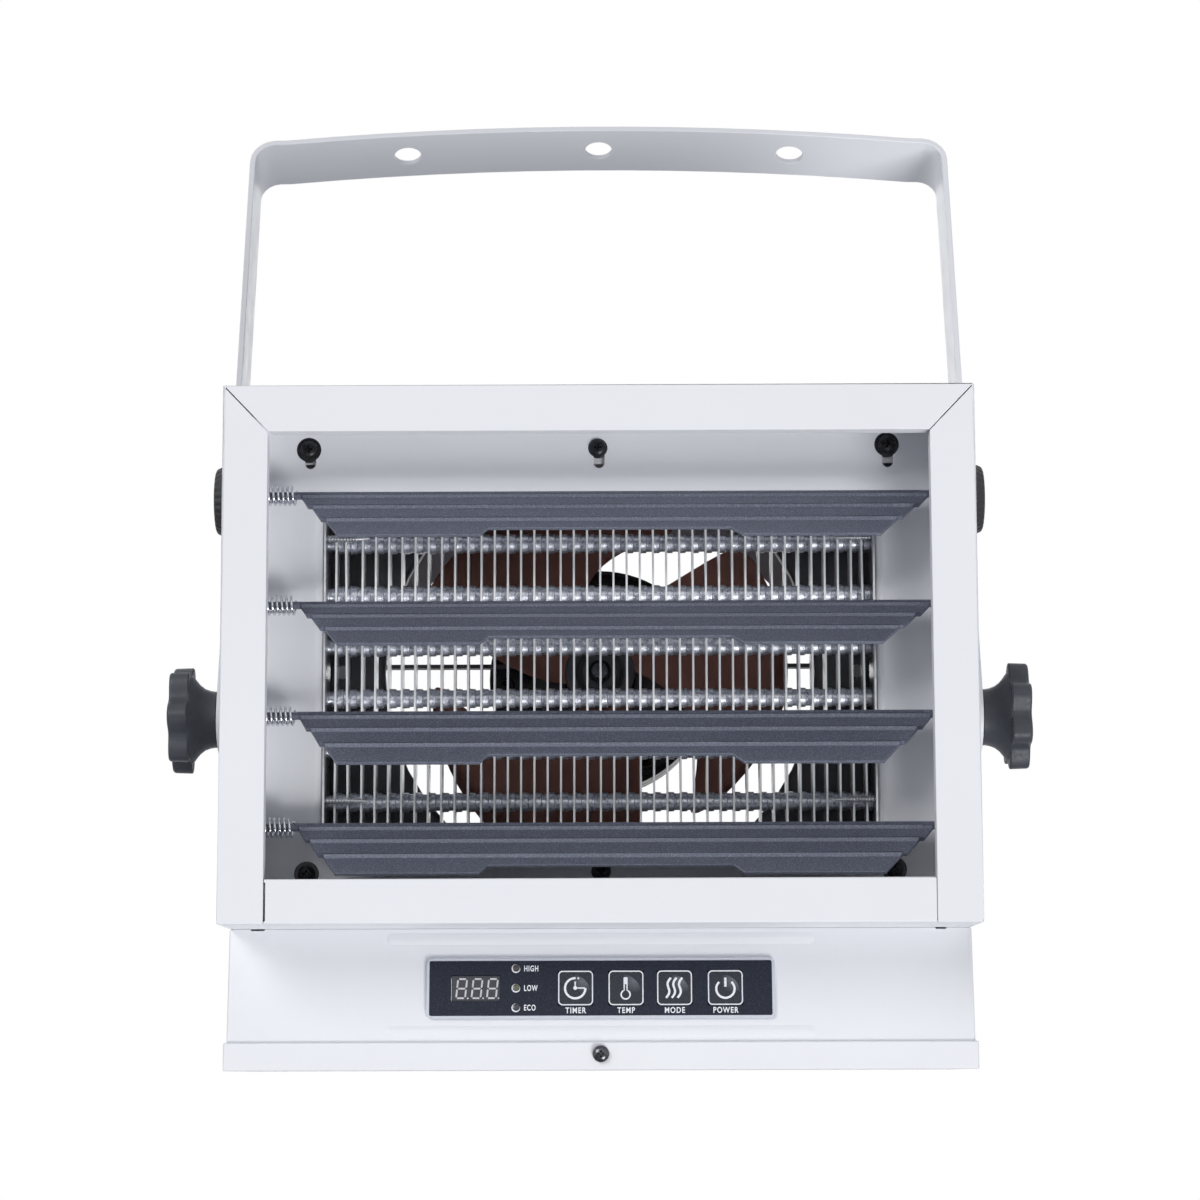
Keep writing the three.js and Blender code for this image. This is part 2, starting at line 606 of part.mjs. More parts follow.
function elementScrew(side, z) {
  const seat = WINDOW_HALF_WIDTH + SHEET + GAP;
  const head = roundBar('x', [side * seat, side * (seat + 2.4)], [ELEMENT_SCREW_Y, z], 3.1, 6);
  const shank = roundBar('x', [side * 120, side * (seat + 1)], [ELEMENT_SCREW_Y, z], 1.7, 8);
  const point = roundBar('x', [side * 120, side * 114.5], [ELEMENT_SCREW_Y, z], 1.7, 8, 0.3);
  return join(head, shank, point);
}

addPart(housing, 'heating_element', galvanised, heatingElement());
let elementScrewNumber = 1;
for (const [name, side] of SIDES) {
  addPart(housing, `element_plate_${name}`, galvanised, elementPlate(side));
  for (const z of ELEMENT_SCREW_ROWS) {
    addPart(housing, `element_screw_${elementScrewNumber}`, galvanised, elementScrew(side, z));
    elementScrewNumber += 1;
  }
}

// ---------------------------------------------------------------- fan

function venturiPlate() {
  const halfWidth = HALF_WIDTH - SHEET - GAP;
  const back = VENTURI_Y + SHEET;
  const plate = block([-halfWidth, halfWidth], [VENTURI_Y, back],
    [BOTTOM_Z + SHEET + GAP, TOP_Z - SHEET - GAP]);
  const collarSpan = [VENTURI_Y, VENTURI_Y + VENTURI_COLLAR];
  const collar = roundBar('y', collarSpan, [0, FAN_Z], VENTURI_RADIUS + SHEET, 40);
  const mouth = roundBar('y', [VENTURI_Y - 1, VENTURI_Y + 20], [0, FAN_Z], VENTURI_RADIUS, 40);
  const nutPaths = SIDES.map(([, side]) => {
    const span = [side * 166, side * 190].sort((a, b) => a - b);
    return block(span, [VENTURI_Y - 1, back + 1], [104, 138]);
  });
  const smallHoles = SIDES.map(([, side]) =>
    roundBar('y', [VENTURI_Y - 1, back + 1], [side * 131, FAN_Z], 3.6, 10));
  return cut(join(plate, collar), mouth, nutPaths, smallHoles);
}

// One wide blade, swept forward into a horn at its tip and flattened towards the hub.
function fanBlade(turn) {
  const steps = 8;
  const corner = ([radius, leading, trailing, rise], share, side) => {
    const angle = (leading + (trailing - leading) * share + turn) * DEGREE;
    const y = BLADE_Y + rise * (1 - 2 * share) + (side * BLADE_THICKNESS) / 2;
    return [radius * Math.cos(angle), y, FAN_Z + radius * Math.sin(angle)];
  };
  const positions = [];
  for (const side of [-1, 1]) {
    for (const station of BLADE_STATIONS) {
      for (let i = 0; i <= steps; i++) positions.push(...corner(station, i / steps, side));
    }
  }
  const row = steps + 1;
  const back = BLADE_STATIONS.length * row;
  const last = BLADE_STATIONS.length - 1;
  const faces = [];
  const quad = (a, b, c, d) => faces.push(a, b, c, a, c, d);
  for (let j = 0; j < last; j++) {
    for (let i = 0; i < steps; i++) {
      const at = j * row + i;
      quad(at, at + row, at + row + 1, at + 1);
      quad(back + at, back + at + 1, back + at + row + 1, back + at + row);
    }
    quad(j * row, back + j * row, back + (j + 1) * row, (j + 1) * row);
    const end = j * row + steps;
    quad(end, end + row, back + end + row, back + end);
  }
  for (let i = 0; i < steps; i++) {
    quad(i, i + 1, back + i + 1, back + i);
    const rim = last * row + i;
    quad(rim, back + rim, back + rim + 1, rim + 1);
  }
  const geometry = new THREE.BufferGeometry();
  geometry.setAttribute('position', new THREE.Float32BufferAttribute(positions, 3));
  geometry.setIndex(faces);
  return solidOf(geometry);
}

function shaftBore() {
  return roundBar('y', [SHAFT_SPAN_Y[0] - 1, SHAFT_SPAN_Y[1] + 1], [0, FAN_Z], SHAFT_RADIUS + GAP, 12);
}

function fanRotor() {
  const blades = Array.from({ length: FAN_BLADES }, (_, i) => fanBlade((i * 360) / FAN_BLADES));
  const spider = roundBar('y', [BLADE_Y - 2, BLADE_Y + 2], [0, FAN_Z], SPIDER_RADIUS, 20);
  const hub = roundBar('y', HUB_SPAN_Y, [0, FAN_Z], FAN_HUB_RADIUS, 16);
  return cut(join(hub, spider, blades), shaftBore());
}

// Clamps the rotor on the shaft from the front.
function fanCollar() {
  const front = HUB_SPAN_Y[0] - GAP;
  return roundBar('y', [front - COLLAR_LENGTH, front], [0, FAN_Z], COLLAR_RADIUS, 20).subtract(shaftBore());
}

function fanMotor() {
  const body = roundBar('y', [MOTOR_FRONT, MOTOR_BACK], [0, FAN_Z], MOTOR_RADIUS, 28);
  const nose = roundBar('y', [MOTOR_FRONT - 6, MOTOR_FRONT + 1], [0, FAN_Z], MOTOR_NOSE_RADIUS, 20);
  const tail = roundBar('y', [MOTOR_BACK - 1, MOTOR_BACK + 5], [0, FAN_Z], 24, 20);
  return cut(join(body, nose, tail), shaftBore());
}

// A flat bar across the fan's opening, with a ring plate that the motor's face bolts to.
function motorStrap() {
  const [barFront, barBack] = [64, MOTOR_FRONT - GAP];
  const seat = VENTURI_Y + SHEET + GAP;
  const bar = block([-STRAP_BAR_X, STRAP_BAR_X], [barFront, barBack], STRAP_BAR_Z);
  const ring = roundBar('y', [barBack - 2, barBack], [0, FAN_Z], 34, 24);
  const legs = SIDES.map(([, side]) => {
    const leg = [side * (STRAP_BAR_X - 2), side * STRAP_BAR_X].sort((a, b) => a - b);
    const foot = [side * (STRAP_BAR_X - 2), side * (STRAP_BAR_X + 13)].sort((a, b) => a - b);
    return join(
      block(leg, [seat, barBack], [FAN_Z - 3, FAN_Z + 15]),
      block(foot, [seat, seat + 2], [FAN_Z + 10, FAN_Z + 21]),
    );
  });
  const boss = roundBar('y', [barFront - 1, barBack + 1], [0, FAN_Z], MOTOR_NOSE_RADIUS + GAP, 20);
  return cut(join(ring, bar, legs), boss);
}

addPart(housing, 'venturi_plate', charcoalSteel, venturiPlate());
addPart(housing, 'fan_rotor', copperPaint, fanRotor());
addPart(housing, 'fan_collar', blackSteel, fanCollar());
addPart(housing, 'motor_shaft', galvanised, roundBar('y', SHAFT_SPAN_Y, [0, FAN_Z], SHAFT_RADIUS, 12));
addPart(housing, 'fan_motor', blackSteel, fanMotor());
addPart(housing, 'motor_strap', charcoalSteel, motorStrap());

// ---------------------------------------------------------------- louvers

// Seen flat: each ridge steps the ends in, and the front edge is cut back along its middle.
function louverOutline() {
  const end = (side, root, tip) => {
    const bands = [-LOUVER_HEEL, ...LOUVER_RIDGES, LOUVER_TIP];
    const taper = (root - tip) / (LOUVER_TIP - LOUVER_RIDGES[0]);
    const points = [[side * root, -LOUVER_HEEL], [side * root, LOUVER_RIDGES[0]]];
    for (let i = 1; i < bands.length - 1; i++) {
      const start = root - taper * (bands[i] - LOUVER_RIDGES[0]);
      const finishX = root - taper * (bands[i + 1] - LOUVER_RIDGES[0]);
      points.push([side * (start - 1.6), bands[i]], [side * (i === 3 ? tip : finishX + 0.4), bands[i + 1]]);
    }
    return points;
  };
  const cutBack = LOUVER_TIP - 6;
  const middle = [[69.4, LOUVER_TIP], [63.9, cutBack], [-53.9, cutBack], [-57.9, LOUVER_TIP]];
  return [...end(1, LOUVER_RIGHT, 137), ...middle, ...end(-1, -LOUVER_LEFT, 127).reverse()]
    .map(([x, reach]) => [x, -reach]).reverse();
}

function louver() {
  const half = LOUVER_THICKNESS / 2;
  const ridges = LOUVER_RIDGES.flatMap((reach) => [
    [-reach + 1.2, half], [-reach + 0.4, half + 1.2], [-reach - 0.4, half + 1.2], [-reach - 2, half],
  ]);
  const profile = [
    [LOUVER_HEEL, -half], [LOUVER_HEEL, half], ...ridges, [-LOUVER_TIP, half], [-LOUVER_TIP, -half],
  ];
  const sheet = pushed('x', profile, [LOUVER_LEFT, LOUVER_RIGHT]);
  const trimmed = sheet.intersect(pushed('z', louverOutline(), [-5, 5]));
  const leftPin = roundBar('x', [-172, LOUVER_LEFT + 6], [0, 0], PIN_RADIUS, 8);
  const rightPin = roundBar('x', [LOUVER_RIGHT - 6, 172], [0, 0], PIN_RADIUS, 8);
  return join(trimmed, leftPin, rightPin);
}

// The spring's wire: one diameter straight out of the wing, the curls, and one diameter to the louver.
function springPath() {
  const start = -WING_X + GAP;
  const end = LOUVER_LEFT - GAP;
  const run = end - start - 2 * SPRING_WIRE;
  const at = (x, turns) => new THREE.Vector3(
    x, SPRING_RADIUS * Math.cos(turns * 2 * Math.PI), SPRING_RADIUS * Math.sin(turns * 2 * Math.PI));
  const points = [at(start, 0)];
  const steps = SPRING_CURLS * SPRING_STEPS;
  for (let i = 0; i <= steps; i++) {
    points.push(at(start + SPRING_WIRE + (run * i) / steps, i / SPRING_STEPS));
  }
  points.push(at(end, SPRING_CURLS));
  return points;
}

function leastGap(points, wire, skip) {
  let least = Infinity;
  for (let i = 0; i < points.length; i++) {
    for (let j = i + skip; j < points.length; j++) least = Math.min(least, points[i].distanceTo(points[j]));
  }
  return least - wire;
}

const springPoints = springPath();
const springGap = leastGap(springPoints, SPRING_WIRE, SPRING_STEPS - 2);
console.log(`louver spring: least gap to itself ${springGap.toFixed(2)} mm`);
const fromSpringAxis = (point) => new THREE.Vector3(0, point.y, point.z);
const spring = sweptTube(springPoints, SPRING_WIRE / 2, SPRING_SIDES, fromSpringAxis);

for (let i = 0; i < LOUVER_COUNT; i++) {
  const swing = new THREE.Group();
  swing.position.set(0, LOUVER_Y, louverZ(i));
  swing.rotation.x = LOUVER_ANGLES[i] * DEGREE;
  housing.add(swing);
  addPart(swing, `louver_${i + 1}`, darkPaint, louver());
  addPart(swing, `louver_spring_${i + 1}`, springSteel, spring);
}

// ---------------------------------------------------------------- control box

const boxFrontTopZ = BOTTOM_Z - GAP;
const slope = Math.atan2(BOX_FRONT_TOP_Y - BOX_FRONT_LOW_Y, boxFrontTopZ - BOX_FRONT_LOW_Z);

const panelFrame = new THREE.Group();
panelFrame.position.set(
  0, BOX_FRONT_TOP_Y - OVERLAY_DROP * Math.sin(slope), boxFrontTopZ - OVERLAY_DROP * Math.cos(slope));
panelFrame.rotation.x = -slope;
housing.add(panelFrame);
panelFrame.updateMatrix();

const onPanel = (solid) => solid.transform(Array.from(panelFrame.matrix.elements));

const coverScrewHole = () => roundBar('y', [-15, 0], [0, COVER_SCREW_Z], RAIL_HOLE_RADIUS, 8);

function controlBox() {
  const tabBottom = COVER_BOTTOM_Z + SHEET + GAP;
  const outer = [
    [BOX_FRONT_TOP_Y, boxFrontTopZ], [BOX_FRONT_LOW_Y, BOX_FRONT_LOW_Z], [BOX_FRONT_LOW_Y, tabBottom],
    [BOX_BACK, tabBottom], [BOX_BACK, boxFrontTopZ],
  ];
  const inner = [
    [BOX_FRONT_TOP_Y + SHEET, boxFrontTopZ + 1], [BOX_FRONT_LOW_Y + SHEET, BOX_FRONT_LOW_Z],
    [BOX_FRONT_LOW_Y + SHEET, tabBottom - 1], [BOX_BACK - SHEET, tabBottom - 1],
    [BOX_BACK - SHEET, boxFrontTopZ + 1],
  ];
  const shell = pushed('x', outer, [-HALF_WIDTH, HALF_WIDTH])
    .subtract(pushed('x', inner, [-HALF_WIDTH + SHEET, HALF_WIDTH - SHEET]));
  const window = onPanel(block([-83, 83], [-5, 5], [-12.5, 12.5]));
  const glandSpan = [BOX_BACK - 5, BOX_BACK + 5];
  const glandHole = roundBar('y', glandSpan, [GLAND_X, GLAND_Z], GLAND_THREAD_RADIUS + 0.4, 20);
  return cut(shell, window, coverScrewHole(), glandHole);
}

function bottomCover() {
  const front = BOX_FRONT_LOW_Y - GAP - SHEET;
  const back = BOX_BACK + GAP + SHEET;
  const tray = block([-COVER_HALF_WIDTH, COVER_HALF_WIDTH], [front, back], [COVER_BOTTOM_Z, COVER_LIP_TOP_Z]);
  const inside = block([-COVER_HALF_WIDTH + SHEET, COVER_HALF_WIDTH - SHEET], [front + SHEET, back - SHEET],
    [COVER_BOTTOM_Z + SHEET, 0]);
  return cut(tray, inside, coverScrewHole());
}

function coverScrew() {
  const seat = BOX_FRONT_LOW_Y - GAP - SHEET - GAP;
  const head = roundBar('y', [seat, seat - 2.8], [0, COVER_SCREW_Z], 4.1, 16, 3);
  const shank = roundBar('y', [seat - 1, 2], [0, COVER_SCREW_Z], SCREW_SHANK_RADIUS, 8);
  return join(head, shank);
}

// Pieces of the control panel are drawn flat: x along it, z up its slope, y into the box.
function controlOverlay() {
  const outline = roundedRectangle(OVERLAY_HEIGHT, OVERLAY_WIDTH, 3);
  const plate = pushed('y', outline, [-GAP - OVERLAY_THICKNESS, -GAP]);
  const keyWindows = KEY_X.map((x) => {
    const half = KEY_SIZE / 2 + GAP;
    return block([x - half, x + half], [-5, 2], [-half, half]);
  });
  const [width, height] = DISPLAY_SIZE.map((size) => size / 2 + GAP);
  const displayWindow = block([DISPLAY_X - width, DISPLAY_X + width], [-5, 2], [-height, height]);
  const lampHoles = INDICATOR_RISES.map((z) =>
    roundBar('y', [-5, 2], [INDICATOR_X, z], INDICATOR_RADIUS + GAP, 12));
  return cut(plate, keyWindows, displayWindow, lampHoles);
}

function keyCap(x) {
  const outline = roundedRectangle(KEY_SIZE, KEY_SIZE, 2.5).map(([z, across]) => [z, across + x]);
  const cap = pushed('y', outline, [-GAP - OVERLAY_THICKNESS - 0.2, 1]);
  return join(cap, roundBar('y', [0, SWITCH_Y - 0.8], [x, 0], 3, 10));
}

function controlBoard() {
  const [width, height] = BOARD_SIZE.map((size) => size / 2);
  const board = block([-width, width], BOARD_Y, [-height, height]);
  const switches = KEY_X.map((x) => block([x - 3, x + 3], [SWITCH_Y, BOARD_Y[0] + 0.1], [-3, 3]));
  return join(board, switches);
}

function displayBlock() {
  const [width, height] = DISPLAY_SIZE.map((size) => size / 2);
  return block([DISPLAY_X - width, DISPLAY_X + width], [-1.2, BOARD_Y[0] - GAP], [-height, height]);
}

function indicator(z) {
  const barrelSpan = [-GAP - OVERLAY_THICKNESS, BOARD_Y[0] - GAP];
  const barrel = roundBar('y', barrelSpan, [INDICATOR_X, z], INDICATOR_RADIUS, 12);
  const dome = roundBar('y', [-1.8, -2.3], [INDICATOR_X, z], INDICATOR_RADIUS, 12, 1.3);
  return join(barrel, dome);
}

function powerBoard() {
  const floorZ = COVER_BOTTOM_Z + SHEET + GAP;
  const board = block(POWER_BOARD_X, POWER_BOARD_Y, POWER_BOARD_Z);
  const seat = POWER_BOARD_Z[1] - 0.6;
  const postYs = [POWER_BOARD_Y[0] + 8, POWER_BOARD_Y[1] - 8];
  const posts = [POWER_BOARD_X[0] + 8, POWER_BOARD_X[1] - 8].flatMap((x) =>
    postYs.map((y) => roundBar('z', [floorZ, seat], [x, y], 3, 8)));
  const relays = [-80, -50, -20].map((x) => block([x, x + 18], [50, 78], [seat, seat + 17]));
  const sink = block([20, 54], [50, 90], [seat, seat + 23]);
  const [leadX, leadY] = MOTOR_LEAD_AT;
  const socket = block([leadX - 9, leadX + 9], [leadY - 7, leadY + 7], [seat, seat + 11]);
  return join(board, posts, relays, sink, socket);
}

function terminalBlock() {
  const body = block(TERMINALS_X, TERMINALS_Y, [COVER_BOTTOM_Z + SHEET + GAP, TERMINALS_TOP]);
  const wellSpan = [TERMINALS_TOP - 4, TERMINALS_TOP + 2];
  const screwWells = [7, 17, 27, 37].map((x) =>
    roundBar('z', wellSpan, [TERMINALS_X[0] + x, TERMINALS_Y[1] - 8], 3, 8));
  return cut(body, screwWells);
}

function thermalCutout() {
  const can = roundBar('y', [27, VENTURI_Y - GAP], [150, 60], 8, 16);
  const tabs = block([146, 154], [23, 28], [57, 63]);
  const ears = block([137, 163], [VENTURI_Y - GAP - 1, VENTURI_Y - GAP], [56, 64]);
  return join(can, tabs, ears);
}

function cableGland() {
  const seat = BOX_BACK + GAP;
  const flange = roundBar('y', [seat, seat + 5], [GLAND_X, GLAND_Z], 14, 6);
  const dome = roundBar('y', [seat + 4.9, seat + 20], [GLAND_X, GLAND_Z], 12.5, 20, 8.5);
  const thread = roundBar('y', [BOX_BACK - 10, seat + 1], [GLAND_X, GLAND_Z], GLAND_THREAD_RADIUS, 20);
  const bore = roundBar('y', [BOX_BACK - 20, seat + 30], [GLAND_X, GLAND_Z], GLAND_BORE_RADIUS, 16);
  return join(flange, dome, thread).subtract(bore);
}

function motorLead() {
  const [x, y] = MOTOR_LEAD_AT;
  const top = FAN_Z - MOTOR_RADIUS - GAP;
  const path = smoothPath([
    [x, y, top], [x, y, top - 8], [x + 1, y + 5, top - 30], [x + 1, y + 4, top - 52], [x, y, BOTTOM_Z + 14],
    [x, y, BOTTOM_Z - 14], [x, y, -141], [x, y, POWER_BOARD_Z[1] - 0.6 + 11 + GAP],
  ], 14);
  return sweptTube(path, 3, 8, () => new THREE.Vector3(1, 0, 0));
}

function elementLead() {
  const [x, y] = ELEMENT_LEAD_AT;
  const start = TUBE_END_X + 2 * GAP;
  const path = smoothPath([
    [start, TUBE_Y, tubeZ(5)], [start + 5, TUBE_Y, tubeZ(5)], [x, TUBE_Y + 6, tubeZ(5) - 14],
    [x, y - 6, BOTTOM_Z + 26], [x, y, BOTTOM_Z + 8], [x, y, BOTTOM_Z - 10], [x - 2, y + 10, -134],
    [x - 3, 56, -143], [x - 3, 56, TERMINALS_TOP + GAP],
  ], 18);
  const hint = (point, i) => (i < 3 ? new THREE.Vector3(0, 1, 0) : new THREE.Vector3(1, 0.2, 0));
  return sweptTube(path, 2, 8, hint);
}

addPart(housing, 'control_box', whitePaint, controlBox());
addPart(housing, 'bottom_cover', whitePaint, bottomCover());
addPart(housing, 'cover_screw', blackSteel, coverScrew());
addPart(panelFrame, 'control_overlay', glossBlack, controlOverlay());
addPart(panelFrame, 'display', displayGlass, displayBlock());
['top', 'middle', 'bottom'].forEach((name, i) => {
  addPart(panelFrame, `indicator_${name}`, indicatorLens, indicator(INDICATOR_RISES[i]));
});
['timer', 'temperature', 'mode', 'power'].forEach((name, i) => {
  addPart(panelFrame, `key_${name}`, glossBlack, keyCap(KEY_X[i]));
});
addPart(panelFrame, 'control_board', boardGreen, controlBoard());
addPart(housing, 'power_board', boardGreen, powerBoard());
addPart(housing, 'terminal_block', beigePlastic, terminalBlock());
addPart(housing, 'thermal_cutout', blackPlastic, thermalCutout());
addPart(housing, 'cable_gland', blackPlastic, cableGland());
addPart(housing, 'motor_lead', cableBlack, motorLead());
addPart(housing, 'element_lead', cableBlack, elementLead());

export default heater;
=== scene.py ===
import math

import bmesh
import bpy
from bpy.props import FloatProperty, FloatVectorProperty, IntProperty, PointerProperty
from mathutils import Matrix, Vector


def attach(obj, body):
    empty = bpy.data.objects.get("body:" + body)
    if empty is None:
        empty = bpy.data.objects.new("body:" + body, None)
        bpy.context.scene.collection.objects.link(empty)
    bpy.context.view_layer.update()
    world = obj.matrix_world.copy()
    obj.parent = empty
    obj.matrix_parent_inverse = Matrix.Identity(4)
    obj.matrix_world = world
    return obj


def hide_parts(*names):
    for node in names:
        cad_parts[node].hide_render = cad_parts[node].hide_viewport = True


bl_info = {
    "name": "Ceiling Fan Heater",
    "version": (1, 0, 0),
    "blender": (4, 5, 0),
    "location": "View3D > Sidebar > Heater",
    "description": "Builds the looks of a ceiling mounted fan heater around its CAD frame",
    "category": "Object",
}

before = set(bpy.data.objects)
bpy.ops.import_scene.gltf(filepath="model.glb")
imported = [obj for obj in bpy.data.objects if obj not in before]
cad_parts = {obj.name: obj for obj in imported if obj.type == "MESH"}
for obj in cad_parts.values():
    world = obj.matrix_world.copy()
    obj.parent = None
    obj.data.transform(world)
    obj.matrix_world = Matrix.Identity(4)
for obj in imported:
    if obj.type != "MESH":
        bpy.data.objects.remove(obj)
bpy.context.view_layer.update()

MM = 0.001
SIDES = (("left", -1), ("right", 1))

# Places in the housing's axes, in millimetres: x to the right, y to the back and z up the casing.
HALF_WIDTH, FRONT, TOP, BOTTOM = 183, -56, 158, -103.8
BOX_FRONT, BOX_TOP, BOX_BACK = 1, -104.1, 130
COVER_HALF_WIDTH, COVER_FRONT, COVER_BACK, COVER_BOTTOM = 184.5, -9.5, 131.5, -173.2
COVER_SCREW_Z = -165.3
LOUVER_Y, LOUVER_ROWS = -24, [108.6 - 54.7 * i for i in range(4)]
TUBE_Y, TUBE_ROWS = 7, [89 - 26 * i for i in range(6)]
FAN_Z = 28
GLAND_X, GLAND_Z = 120, -138

# The axes that the pieces are drawn in. The housing's start at the pivot, and lean with it.
PIVOT_DROP, LOCK_RISE, LEAN = 357, 127.6, math.radians(22.3)
ROW = Matrix.Identity(4)
HOUSING = Matrix.Translation((0, 0, -PIVOT_DROP * MM)) @ Matrix.Rotation(LEAN, 4, "X")
LOUVERS = [
    HOUSING
    @ Matrix.Translation((0, LOUVER_Y * MM, z * MM))
    @ Matrix.Rotation(math.radians(angle), 4, "X")
    for z, angle in zip(LOUVER_ROWS, (41.6, 38.6, 44.6, 41.6))
]
# The control panel's start in its middle, and lean with the box's front.
BOX_SLOPE = math.atan2(9.0, 54.9)
PANEL = (
    HOUSING
    @ Matrix.Translation((0, BOX_FRONT * MM, BOX_TOP * MM))
    @ Matrix.Rotation(-BOX_SLOPE, 4, "X")
    @ Matrix.Translation((0, 0, -29.9 * MM))
)


def length_property(name, description, default, least, greatest):
    return FloatProperty(
        name=name, description=description, unit="LENGTH", precision=4,
        default=default * MM, min=least * MM, max=greatest * MM,
    )


def count_property(name, description, default, least, greatest):
    return IntProperty(
        name=name, description=description, default=default, min=least, max=greatest
    )


class HeaterSizes(bpy.types.PropertyGroup):
    """Sizes that change how the heater looks, and stay within its CAD solids"""

    fold_radius: length_property(
        "Fold radius", "Outer radius of a folded corner of the casing sheet", 0.9, 0.2, 3
    )
    edge_radius: length_property(
        "Edge radius", "Radius that the paint leaves on a cut sheet edge", 0.3, 0.05, 0.6
    )
    fin_count: count_property("Fins", "Number of plate fins on the heating element", 41, 14, 60)
    fin_hem: length_property("Fin hem", "Thickness of the rolled front edge of a fin", 1.05, 0.5, 2)
    collar_radius: length_property(
        "Collar radius", "Radius of a fin's collar on its tube", 4.9, 4, 5.2
    )
    spring_wire: length_property(
        "Spring wire", "Thickness of the wire of a louver spring", 1.25, 0.6, 1.5
    )
    spring_curls: count_property("Spring curls", "Number of curls in a louver spring", 7, 4, 10)
    knob_lobes: count_property("Knob lobes", "Number of lobes on a pivot knob", 7, 5, 9)
    blade_thickness: length_property(
        "Blade thickness", "Thickness of the fan blade's sheet", 1.2, 0.6, 1.8
    )


def colour_property(name, description, default):
    return FloatVectorProperty(
        name=name, description=description, subtype="COLOR", size=3, min=0, max=1, default=default
    )


class HeaterColours(bpy.types.PropertyGroup):
    """Colours of the heater's finishes"""

    white_paint: colour_property(
        "White paint", "Powder coat of the casing and bracket", (0.86, 0.868, 0.905)
    )
    louver_paint: colour_property(
        "Louver paint", "Textured paint of the louvers", (0.142, 0.156, 0.206)
    )
    blade_copper: colour_property("Blade copper", "Lacquer of the fan blades", (0.44, 0.21, 0.165))
    knob_plastic: colour_property(
        "Knob plastic", "Moulded plastic of the knobs", (0.043, 0.047, 0.060)
    )
    panel_black: colour_property(
        "Panel black", "Printed film of the control panel", (0.0135, 0.0175, 0.031)
    )
    trim_silver: colour_property("Trim silver", "Frame round the control panel", (0.62, 0.65, 0.72))
    print_white: colour_property(
        "Print white", "Marks printed on the control panel", (0.93, 0.955, 1.0)
    )


def sizes():
    return bpy.context.scene.heater_sizes


def colours():
    return bpy.context.scene.heater_colours


# ------------------------------------------------------------------ modelling


def put_down():
    """Leaves edit mode and selects nothing."""
    if bpy.context.mode != "OBJECT":
        bpy.ops.object.mode_set(mode="OBJECT")
    bpy.ops.object.select_all(action="DESELECT")


def pick_up(piece):
    put_down()
    piece.select_set(True)
    bpy.context.view_layer.objects.active = piece


def christen(name):
    """Names the primitive that was just added, and puts its place into its mesh."""
    piece = bpy.context.object
    piece.name = piece.data.name = name
    bpy.ops.object.transform_apply(location=True, rotation=True, scale=True)
    return piece


def block(name, low, high):
    """A block from its lowest to its highest corner, in millimetres."""
    put_down()
    low, high = Vector(low) * MM, Vector(high) * MM
    bpy.ops.mesh.primitive_cube_add(size=1, location=(low + high) / 2, scale=high - low)
    return christen(name)


AXES = {"x": Vector((1, 0, 0)), "y": Vector((0, 1, 0)), "z": Vector((0, 0, 1))}
TURNS = {"x": (0, math.pi / 2, 0), "y": (-math.pi / 2, 0, 0), "z": (0, 0, 0)}


def open_mesh(piece, kind):
    """Edit mode on the piece with nothing selected."""
    pick_up(piece)
    bpy.ops.object.mode_set(mode="EDIT")
    bpy.ops.mesh.select_mode(type=kind)
    bpy.ops.mesh.select_all(action="DESELECT")
    return bmesh.from_edit_mesh(piece.data)


def open_all(piece, kind):
    """Edit mode on the piece with all of it selected."""
    open_mesh(piece, kind)
    bpy.ops.mesh.select_all(action="SELECT")


def pick_faces(piece, test):
    """Selects the faces whose middle, in millimetres, and normal pass the test."""
    shape = open_mesh(piece, "FACE")
    for face in shape.faces:
        if test(face.calc_center_median() / MM, face.normal):
            face.select_set(True)
    bmesh.update_edit_mesh(piece.data)


def pick_edges(piece, test, along=None):
    """Selects the edges, of those along an axis, whose two ends, in millimetres, pass the test."""
    shape = open_mesh(piece, "EDGE")
    for edge in shape.edges:
        run = (edge.verts[1].co - edge.verts[0].co).normalized()
        lies_along = along is None or abs(run.dot(AXES[along])) > 0.99
        if lies_along and all(test(corner.co / MM) for corner in edge.verts):
            edge.select_set(True)
    bmesh.update_edit_mesh(piece.data)


def pick_points(piece, test):
    shape = open_mesh(piece, "VERT")
    for corner in shape.verts:
        if test(corner.co / MM):
            corner.select_set(True)
    shape.select_flush_mode()
    bmesh.update_edit_mesh(piece.data)


def round_edges(piece, test, width, segments=3, along=None):
    """Bevels the edges that pass the test."""
    pick_edges(piece, test, along)
    bpy.ops.mesh.bevel(offset=width, segments=segments, affect="EDGES", clamp_overlap=False)


def pad(name, low, high, corner, segments):
    """A block with its four edges along y rounded, all in millimetres."""
    piece = block(name, low, high)
    round_edges(piece, lambda p: True, corner * MM, segments, along="y")
    put_down()
    return piece


def inset_front(piece, width, shift):
    """Insets the front faces by a width and moves them back by a shift, in millimetres."""
    pick_faces(piece, lambda at, normal: normal.y < -0.9)
    bpy.ops.mesh.inset(thickness=width * MM)
    bpy.ops.transform.translate(value=(0, shift * MM, 0))
    put_down()


def pull(direction, distance):
    """Extrudes what is selected along a direction, by millimetres."""
    bpy.ops.mesh.extrude_region_move(
        TRANSFORM_OT_translate={"value": Vector(direction) * distance * MM}
    )


def across(axis, factor):
    """Resize factors that leave the lengths along the axis alone."""
    return tuple(1 if AXES[axis][k] else factor for k in range(3))


